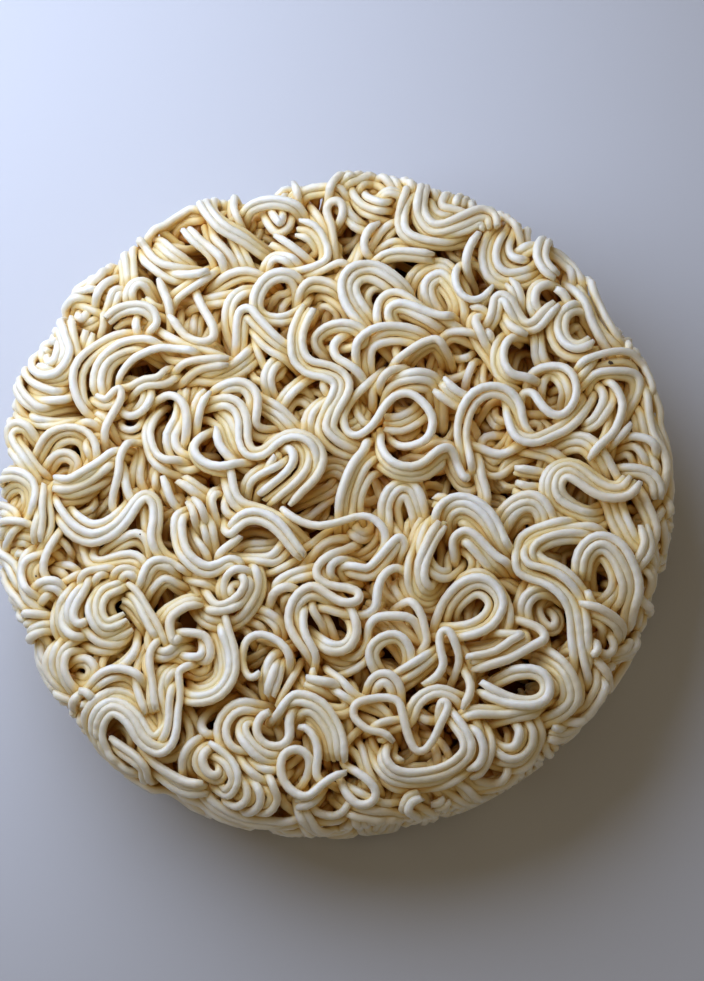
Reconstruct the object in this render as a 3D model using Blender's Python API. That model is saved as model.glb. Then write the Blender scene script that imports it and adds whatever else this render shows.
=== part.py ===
"""A round block of dried instant noodles, lying as it rests on a table.

Metres, +Z up, with the origin at the middle of the underside. The block is one solid:
a lumpy core with wavy and looped strands fused on all round. The pan that it was fried
in pressed the strands flat underneath and against the wall; on top they stay loose.
"""

import math
import random

import bmesh
import bpy
from mathutils import Matrix, Vector, noise

# Driving sizes
BLOCK_RADIUS = 0.055  # out to the strands that were pressed against the pan's wall
NOODLE_DIAMETER = 0.0015

# The pan's shape, followed by the outermost strands
FOOT_RADIUS = 0.053  # the wall leans in towards the foot
SHOULDER_RADIUS = 0.0075  # rounding between the wall and the loose top
HEEL_RADIUS = 0.004  # rounding between the wall and the foot
TOP_HEIGHT = 0.0275  # mean level of the top face
TOP_FALL = 0.0015  # how far the top face drops from its middle to the shoulder

# The core under the strands
CORE_TOP_DEPTH = 0.0018  # the core's top lies this far under the mean level of the loose strands
CORE_WALL_DEPTH = 0.0006  # the core's wall lies this far inside the pan's shape
CORE_FOOT_HEIGHT = 0.00075  # the core's flat underside, part way up the strands pressed on the table
CORE_SECTORS = 32
CORE_TOP_RINGS = 7
CORE_WALL_RINGS = 6
CORE_FOOT_RINGS = 2
LUMP_HEIGHT = 0.0016  # hills and hollows of the top face
LUMP_SPAN = 0.014  # distance from one hill to the next

# The strands
SECTION_CORNERS = tuple(math.radians(angle) for angle in (-118, -36, 36, 118))  # from outwards, flat side out
STRAND_STEPS = 20
STRAND_STEP = 0.0026  # length of one straight stretch
WAVE_LENGTH = (0.019, 0.026)  # length of noodle in one full wave
WAVE_TURN = (1.55, 1.95)  # furthest heading off the wave's own line, in radians
COIL_RADIUS = (0.0031, 0.0044)
COIL_ADVANCE = (0.0050, 0.0070)  # how far each turn of a coil moves along

# Heights of a strand's middle line over the pan's shape
FLAT_SIDE = NOODLE_DIAMETER / 2 * math.cos(SECTION_CORNERS[2])  # from the middle line to the flat side
PRESSED_HEIGHT = -FLAT_SIDE  # a flat side lies against the pan
PRESSED_SPREAD = 0.00005  # strands that cross on the wall mustn't have faces in one plane
WAVE_LOW = -0.0018  # loose waves dip half way into the core's top
COIL_LOW = -0.0027  # loops dive right into it
LOOSE_HIGH = 0.0006
LIFT_GAIN = 1.25  # crests stay level for a stretch

# How many, and where their middles lie
TOP_WAVES = 14
TOP_COILS = 7
TOP_SPREAD_RADIUS = BLOCK_RADIUS - SHOULDER_RADIUS * 0.6
WALL_WAVES = 11
WALL_TURN = 0.4  # the belt on the wall starts this share of a place past +X
WALL_LEVELS = (TOP_HEIGHT * 0.54, TOP_HEIGHT * 0.36)  # taken by turns
FOOT_WAVES = 7
FOOT_SPREAD_RADIUS = (FOOT_RADIUS - HEEL_RADIUS) * 0.86
GOLDEN_ANGLE = math.pi * (3 - math.sqrt(5))
SEED = 15

PROFILE_ARC_STEPS = 8
NOODLE_COLOUR = (0.80, 0.68, 0.44, 1.0)
NOODLE_ROUGHNESS = 0.42


def pan_profile():
    """The block's half outline as (radius, height), from the top's middle round to the foot's."""
    lean = math.atan2(BLOCK_RADIUS - FOOT_RADIUS, TOP_HEIGHT - SHOULDER_RADIUS - HEEL_RADIUS)
    points = [Vector((0, TOP_HEIGHT))]
    shoulder = Vector((BLOCK_RADIUS - SHOULDER_RADIUS, TOP_HEIGHT - TOP_FALL - SHOULDER_RADIUS))
    heel = Vector((FOOT_RADIUS - HEEL_RADIUS, HEEL_RADIUS))
    for centre, radius, start, end in (
        (shoulder, SHOULDER_RADIUS, math.pi / 2, -lean),
        (heel, HEEL_RADIUS, -lean, -math.pi / 2),
    ):
        for step in range(PROFILE_ARC_STEPS + 1):
            angle = start + (end - start) * step / PROFILE_ARC_STEPS
            points.append(centre + radius * Vector((math.cos(angle), math.sin(angle))))
    points.append(Vector((0, 0)))
    return points


PROFILE = pan_profile()
PROFILE_LENGTH = sum((end - start).length for start, end in zip(PROFILE, PROFILE[1:]))


def nearest_on_profile(radius, height):
    """The outline's point nearest to this one, and the outline's outward direction there."""
    here = Vector((radius, height))
    best = None
    for start, end in zip(PROFILE, PROFILE[1:]):
        run = end - start
        share = max(0.0, min(1.0, (here - start).dot(run) / run.length_squared))
        found = start + share * run
        distance = (here - found).length_squared
        if best is None or distance < best[0]:
            outward = Vector((-run.y, run.x)).normalized()
            best = (distance, found, outward)
    return best[1], best[2]


def lump(point):
    """Hills and hollows, full on top, slight on the wall and none on the foot."""
    share = max(0.0, min(1.0, point.z / TOP_HEIGHT)) ** 2
    return LUMP_HEIGHT * share * noise.noise(point / LUMP_SPAN)


def on_surface(point, height):
    """Where a point goes when it is laid on the block's surface, and which way is out there."""
    around = math.atan2(point.y, point.x)
    found, outward = nearest_on_profile(math.hypot(point.x, point.y), point.z)
    turn = Matrix.Rotation(around, 3, "Z")
    place = turn @ Vector((found.x, 0, found.y))
    out = (turn @ Vector((outward.x, 0, outward.y))).normalized()
    return place + out * (height + lump(place)), out


def walk_profile(share):
    """The outline's point at this share of its length."""
    left = share * PROFILE_LENGTH
    for start, end in zip(PROFILE, PROFILE[1:]):
        run = (end - start).length
        if left <= run:
            return start.lerp(end, left / run)
        left -= run
    return PROFILE[-1]


def core_mesh():
    """The lumpy core: rings that follow the outline, closed at the top and the foot."""
    mesh = bpy.data.meshes.new("core")
    shape = bmesh.new()
    rings = []
    wall_start = (BLOCK_RADIUS - SHOULDER_RADIUS) / PROFILE_LENGTH
    wall_end = 1 - (FOOT_RADIUS - HEEL_RADIUS) / PROFILE_LENGTH
    wall_run = wall_end - wall_start
    shares = [wall_start * step / CORE_TOP_RINGS for step in range(1, CORE_TOP_RINGS)]
    shares += [wall_start + wall_run * step / CORE_WALL_RINGS for step in range(CORE_WALL_RINGS + 1)]
    shares += [wall_end + (1 - wall_end) * step / CORE_FOOT_RINGS for step in range(1, CORE_FOOT_RINGS)]
    for count, share in enumerate(shares):
        at = walk_profile(share)
        ring = []
        depth = CORE_TOP_DEPTH if share < wall_start else CORE_WALL_DEPTH
        for sector in range(CORE_SECTORS):
            angle = math.tau * (sector + count % 2 / 2) / CORE_SECTORS
            point, _ = on_surface(Vector((at.x * math.cos(angle), at.x * math.sin(angle), at.y)), -depth)
            if share >= wall_end:
                point.z = CORE_FOOT_HEIGHT
            ring.append(shape.verts.new(point))
        rings.append(ring)
    top, _ = on_surface(Vector((0, 0, TOP_HEIGHT)), -CORE_TOP_DEPTH)
    poles = [shape.verts.new(top), shape.verts.new((0, 0, CORE_FOOT_HEIGHT))]
    for count, (upper, lower) in enumerate(zip(rings, rings[1:])):
        for sector in range(CORE_SECTORS):
            after = (sector + 1) % CORE_SECTORS
            if count % 2:  # every other ring is turned by half a sector
                shape.faces.new((upper[sector], lower[sector], upper[after]))
                shape.faces.new((upper[after], lower[sector], lower[after]))
            else:
                shape.faces.new((upper[sector], lower[sector], lower[after]))
                shape.faces.new((upper[sector], lower[after], upper[after]))
    for pole, ring in zip(poles, (rings[0], rings[-1])):
        for start, end in zip(ring, ring[1:] + ring[:1]):
            shape.faces.new((pole, start, end))
    bmesh.ops.triangulate(shape, faces=shape.faces)
    bmesh.ops.recalc_face_normals(shape, faces=shape.faces)
    shape.to_mesh(mesh)
    shape.free()
    return mesh


def wave_route(draw):
    """A flat meander, as (along, across, lift) at each step."""
    length = draw.uniform(*WAVE_LENGTH)
    turn = draw.uniform(*WAVE_TURN)
    phase = draw.uniform(0, math.tau)
    along = across = 0.0
    route = []
    for step in range(STRAND_STEPS + 1):
        angle = math.tau * step * STRAND_STEP / length + phase
        heading = turn * math.sin(angle)
        route.append((along, across, 0.5 + 0.5 * math.cos(angle)))
        along += STRAND_STEP * math.cos(heading)
        across += STRAND_STEP * math.sin(heading)
    return route


def coil_route(draw):
    """A row of loops laid over, each turn crossing the one before."""
    radius = draw.uniform(*COIL_RADIUS)
    advance = draw.uniform(*COIL_ADVANCE)
    phase = draw.uniform(0, math.tau)
    side = draw.choice((-1, 1))
    route = []
    for step in range(STRAND_STEPS + 1):
        angle = phase + step * STRAND_STEP / radius
        along = advance * angle / math.tau + radius * math.sin(angle)
        route.append((along, side * radius * math.cos(angle), 0.5 + 0.5 * math.sin(angle)))
    return route


def centred(route):
    middle_along = sum(point[0] for point in route) / len(route)
    middle_across = sum(point[1] for point in route) / len(route)
    return [(along - middle_along, across - middle_across, lift) for along, across, lift in route]


def strand_mesh(name, route, middle, heading, low, high):
    """A strand laid on the surface round a middle point: low and high are the heights of its middle line."""
    _, out = on_surface(middle, 0)
    reference = Vector((0, 0, 1)) if abs(out.z) < 0.7 else Vector((1, 0, 0))
    east = out.cross(reference).normalized()
    north = out.cross(east)
    line = []
    for along, across, lift in centred(route):
        flat_x = along * math.cos(heading) - across * math.sin(heading)
        flat_y = along * math.sin(heading) + across * math.cos(heading)
        height = min(high, low + (high - low) * lift * LIFT_GAIN)
        line.append(on_surface(middle + east * flat_x + north * flat_y, height))
    mesh = bpy.data.meshes.new(name)
    shape = bmesh.new()
    rings = []
    for step, (place, out) in enumerate(line):
        before = line[max(step - 1, 0)][0]
        after = line[min(step + 1, len(line) - 1)][0]
        ahead = (after - before).normalized()
        side = ahead.cross(out).normalized()
        up = side.cross(ahead)
        ring = []
        for angle in SECTION_CORNERS:
            spoke = up * math.cos(angle) + side * math.sin(angle)
            ring.append(shape.verts.new(place + spoke * NOODLE_DIAMETER / 2))
        rings.append(ring)
    for ring, following in zip(rings, rings[1:]):
        for corner in range(len(ring)):
            other = (corner + 1) % len(ring)
            shape.faces.new((ring[corner], ring[other], following[other], following[corner]))
    shape.faces.new(rings[0])
    shape.faces.new(rings[-1])
    bmesh.ops.triangulate(shape, faces=shape.faces)
    bmesh.ops.recalc_face_normals(shape, faces=shape.faces)
    shape.to_mesh(mesh)
    shape.free()
    return mesh


def spiral_place(index, count, spread, turn, height):
    """One of a number of places spread evenly over a disc."""
    radius = spread * math.sqrt((index + 0.5) / count)
    angle = (index + turn) * GOLDEN_ANGLE
    return Vector((radius * math.cos(angle), radius * math.sin(angle), height))


def strand_places():
    """(route, middle, heading, lowest, highest) of each strand."""
    draw = random.Random(SEED)
    places = []
    count = TOP_WAVES + TOP_COILS
    for index in range(count):
        middle = spiral_place(index, count, TOP_SPREAD_RADIUS, 0, TOP_HEIGHT)
        is_coil = (index + 1) * TOP_COILS // count > index * TOP_COILS // count
        route = coil_route(draw) if is_coil else wave_route(draw)
        low = COIL_LOW if is_coil else WAVE_LOW
        places.append((route, middle, draw.uniform(0, math.tau), low, LOOSE_HIGH))
    for index in range(WALL_WAVES):
        angle = math.tau * (index + WALL_TURN) / WALL_WAVES
        height = WALL_LEVELS[index % 2]
        middle = Vector((BLOCK_RADIUS * math.cos(angle), BLOCK_RADIUS * math.sin(angle), height))
        level = PRESSED_HEIGHT - draw.uniform(0, PRESSED_SPREAD)
        places.append((wave_route(draw), middle, draw.uniform(0, math.tau), level, level))
    for index in range(FOOT_WAVES):
        middle = spiral_place(index, FOOT_WAVES, FOOT_SPREAD_RADIUS, 0.5, 0)
        places.append((wave_route(draw), middle, draw.uniform(0, math.tau), PRESSED_HEIGHT, PRESSED_HEIGHT))
    return places


def build_strands():
    collection = bpy.data.collections.new("strands")
    bpy.context.scene.collection.children.link(collection)
    for index, place in enumerate(strand_places()):
        name = f"strand_{index}"
        collection.objects.link(bpy.data.objects.new(name, strand_mesh(name, *place)))
    return collection


def fuse(block, collection):
    """Joins the strands to the core, then removes them."""
    join = block.modifiers.new("fuse", "BOOLEAN")
    join.operation = "UNION"
    join.operand_type = "COLLECTION"
    join.collection = collection
    join.solver = "MANIFOLD"
    apply_modifiers(block)
    for strand in list(collection.objects):
        bpy.data.objects.remove(strand)
    bpy.data.collections.remove(collection)


def keep_largest_shell(mesh):
    """Fills hollows that fusing sealed, and drops loose scraps: each is a shell of its own."""
    shape = bmesh.new()
    shape.from_mesh(mesh)
    left = set(shape.faces)
    shells = []
    while left:
        stack = [left.pop()]
        shell = list(stack)
        while stack:
            for edge in stack.pop().edges:
                for face in edge.link_faces:
                    if face in left:
                        left.remove(face)
                        stack.append(face)
                        shell.append(face)
        shells.append(shell)
    shells.sort(key=len)
    scraps = [face for shell in shells[:-1] for face in shell]
    bmesh.ops.delete(shape, geom=scraps, context="FACES")
    shape.to_mesh(mesh)
    shape.free()


def apply_modifiers(block):
    graph = bpy.context.evaluated_depsgraph_get()
    applied = bpy.data.meshes.new_from_object(block.evaluated_get(graph))
    block.modifiers.clear()
    block.data = applied


def stand_at_origin(mesh):
    """Puts the middle of the underside at the origin."""
    corners = [vertex.co for vertex in mesh.vertices]
    low = Vector([min(corner[axis] for corner in corners) for axis in range(3)])
    high = Vector([max(corner[axis] for corner in corners) for axis in range(3)])
    middle = (low + high) / 2
    mesh.transform(Matrix.Translation((-middle.x, -middle.y, -low.z)))


def noodle_material():
    material = bpy.data.materials.new("dried_noodle")
    material.use_nodes = True
    shader = material.node_tree.nodes["Principled BSDF"]
    shader.inputs["Base Color"].default_value = NOODLE_COLOUR
    shader.inputs["Roughness"].default_value = NOODLE_ROUGHNESS
    shader.inputs["Metallic"].default_value = 0.0
    return material


def main():
    for old in list(bpy.data.objects):
        bpy.data.objects.remove(old)
    block = bpy.data.objects.new("noodle_block", core_mesh())
    bpy.context.scene.collection.objects.link(block)
    fuse(block, build_strands())
    keep_largest_shell(block.data)
    stand_at_origin(block.data)
    block.data.materials.clear()
    block.data.materials.append(noodle_material())


main()
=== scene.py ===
import math
import random
import time

import bmesh
import bpy
import numpy as np
from mathutils import Matrix, Vector, noise


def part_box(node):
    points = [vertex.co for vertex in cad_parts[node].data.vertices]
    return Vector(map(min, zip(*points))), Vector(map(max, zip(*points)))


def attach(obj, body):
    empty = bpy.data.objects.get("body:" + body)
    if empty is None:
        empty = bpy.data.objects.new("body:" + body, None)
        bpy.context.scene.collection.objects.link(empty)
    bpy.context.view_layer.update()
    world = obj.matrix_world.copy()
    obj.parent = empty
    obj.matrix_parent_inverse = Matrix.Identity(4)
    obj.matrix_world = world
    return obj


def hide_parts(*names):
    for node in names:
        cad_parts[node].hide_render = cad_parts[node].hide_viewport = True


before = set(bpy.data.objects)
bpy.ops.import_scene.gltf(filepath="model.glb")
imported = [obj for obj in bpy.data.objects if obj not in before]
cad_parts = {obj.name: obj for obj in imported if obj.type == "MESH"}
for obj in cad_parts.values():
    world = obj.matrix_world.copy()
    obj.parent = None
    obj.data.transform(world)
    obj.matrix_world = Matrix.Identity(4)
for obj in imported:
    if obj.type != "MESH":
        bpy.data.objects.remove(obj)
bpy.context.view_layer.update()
blockLow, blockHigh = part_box("noodle_block")
started = time.time()
noise.seed_set(7)  # otherwise its vectors change from run to run

mm = 0.001  # sizes below are in millimetres, and this turns them to metres
blockHalf = np.array([blockHigh.x, blockHigh.y]) / mm
blockHeight = (blockHigh.z - blockLow.z) / mm
margin = 0.1  # everything stays this far inside the block's own box


def say(stage):
    print(f"{time.time() - started:6.1f} s  {stage}")


# The pan that the block was fried in: strands lie pressed against its wall and floor
pan = {
    "radius": min(blockHigh.x - blockLow.x, blockHigh.y - blockLow.y) / 2 / mm - margin,
    "topHeight": blockHeight - 3.4,  # mean level of the loose top, under its highest loops
    "topFall": 1.5,  # the top drops this much from its middle to the shoulder
    "lean": 2.0,  # the wall leans in by this much at the foot
    "shoulder": 7.5,
    "heel": 4.0,
    "arcSteps": 10,
    "blend": 0.2,  # nearer to the surface than this, the way out is the outline's own
}

# The noodle itself
noodle = {
    "diameter": 1.41,
    "step": 1.0,  # distance between the points that settle
    "pressedFlat": 0.1,  # how far a strand's side is flattened where it meets the pan
}


def panOutline():
    radius, foot = pan["radius"], pan["radius"] - pan["lean"]
    top, shoulder, heel = pan["topHeight"], pan["shoulder"], pan["heel"]
    lean = math.atan2(pan["lean"], top - shoulder - heel)
    points = [(0.0, top), (radius - shoulder, top - pan["topFall"])]
    arcs = (
        (radius - shoulder, top - pan["topFall"] - shoulder, shoulder, math.pi / 2, -lean),
        (foot - heel, heel, heel, -lean, -math.pi / 2),
    )
    for x, z, size, start, end in arcs:
        for step in range(1, pan["arcSteps"] + 1):
            angle = start + (end - start) * step / pan["arcSteps"]
            points.append((x + size * math.cos(angle), z + size * math.sin(angle)))
    points.append((0.0, 0.0))
    return np.array(points)


outline = panOutline()
outlineRuns = np.diff(outline, axis=0)
outlineLengths = np.hypot(outlineRuns[:, 0], outlineRuns[:, 1])


def nearestOnPan(points):
    # the pan's nearest point to each point, and the way out there
    flat = np.stack([np.hypot(points[:, 0], points[:, 1]), points[:, 2]], axis=1)
    offset = flat[:, None, :] - outline[None, :-1, :]
    share = (offset * outlineRuns).sum(2) / (outlineLengths**2)
    share = np.clip(share, 0, 1)
    found = outline[None, :-1, :] + share[:, :, None] * outlineRuns[None]
    best = ((flat[:, None, :] - found) ** 2).sum(2).argmin(1)
    rows = np.arange(len(points))
    spot = found[rows, best]
    away = flat - spot
    run = outlineRuns[best]
    outward = np.stack([-run[:, 1], run[:, 0]], axis=1) / outlineLengths[best][:, None]
    signed = (away * outward).sum(1)
    distance = np.hypot(away[:, 0], away[:, 1])
    corner = distance > 1e-6
    smooth = np.where(corner[:, None], away / np.maximum(distance, 1e-6)[:, None], outward)
    smooth = np.where((signed < 0)[:, None], -smooth, smooth)
    outward = np.where((distance > pan["blend"])[:, None], smooth, outward)
    around = np.arctan2(points[:, 1], points[:, 0])
    cos, sin = np.cos(around), np.sin(around)
    place = np.stack([spot[:, 0] * cos, spot[:, 0] * sin, spot[:, 1]], axis=1)
    out = np.stack([outward[:, 0] * cos, outward[:, 0] * sin, outward[:, 1]], axis=1)
    inside = np.where(signed < 0, -distance, distance)
    return place, out, inside


# The photograph's view
view = {
    "imageWidth": 704,
    "imageHeight": 981,
    "elevation": 73.0,
    "roll": 18.0,
    "distance": 450.0,
    "pixelsPerMm": 6.2,
    "blockX": 333.0,  # where the block's centre lands in the image
    "blockY": 505.0,
    "blockCentre": (0.0, 0.0, 14.0),
    "sensor": 36,
    "nearSide": 40.0,  # the search for the surface starts this much nearer than the block's centre
    "searchSteps": 40,
}


def viewAxes():
    # the camera's right, up and ahead, and its place in millimetres
    elevation, roll = math.radians(view["elevation"]), math.radians(view["roll"])
    ahead = Vector((0, math.cos(elevation), -math.sin(elevation)))
    right = Vector((1, 0, 0))
    up = Vector((0, math.sin(elevation), math.cos(elevation)))
    tiltedRight = right * math.cos(roll) - up * math.sin(roll)
    tiltedUp = up * math.cos(roll) + right * math.sin(roll)
    shiftX = (view["imageWidth"] / 2 - view["blockX"]) / view["pixelsPerMm"]
    shiftY = (view["blockY"] - view["imageHeight"] / 2) / view["pixelsPerMm"]
    aim = Vector(view["blockCentre"]) + tiltedRight * shiftX + tiltedUp * shiftY
    return tiltedRight, tiltedUp, ahead, aim - ahead * view["distance"]


def placeOnBlock(path):
    # image points with heights, as points that far over the pan's surface
    right, up, ahead, eye = (np.array(axis) for axis in viewAxes())
    path = np.array(path, float)
    focus = view["distance"] * view["pixelsPerMm"]
    ways = ahead + np.outer((path[:, 0] - view["imageWidth"] / 2) / focus, right)
    ways += np.outer((view["imageHeight"] / 2 - path[:, 1]) / focus, up)
    ways /= np.linalg.norm(ways, axis=1)[:, None]
    reach = np.full(len(path), view["distance"] - view["nearSide"])
    best, kept = np.full(len(path), 1e9), reach.copy()
    for _ in range(view["searchSteps"]):
        _, _, inside = nearestOnPan(eye + ways * reach[:, None])
        miss = np.abs(inside - path[:, 2])
        kept = np.where(miss < best, reach, kept)
        best = np.minimum(miss, best)
        reach += inside - path[:, 2]
    return eye + ways * kept[:, None]


def smoothLine(points, step):
    # even points on a smooth curve through these
    before, after = 2 * points[:1] - points[1:2], 2 * points[-1:] - points[-2:-1]
    padded = np.concatenate([before, points, after])
    runs = np.linalg.norm(np.diff(points, axis=0), axis=1)
    total = np.concatenate([[0], np.cumsum(runs)])
    wanted = np.linspace(0, total[-1], max(int(total[-1] / step), 2) + 1)
    cell = np.clip(np.searchsorted(total, wanted, "right") - 1, 0, len(points) - 2)
    t = ((wanted - total[cell]) / np.maximum(runs[cell], 1e-6))[:, None]
    a, b, c, d = padded[cell], padded[cell + 1], padded[cell + 2], padded[cell + 3]
    square, cube = 2 * a - 5 * b + 4 * c - d, 3 * b - a - 3 * c + d
    return 0.5 * (2 * b + (c - a) * t + square * t**2 + cube * t**3)


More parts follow.
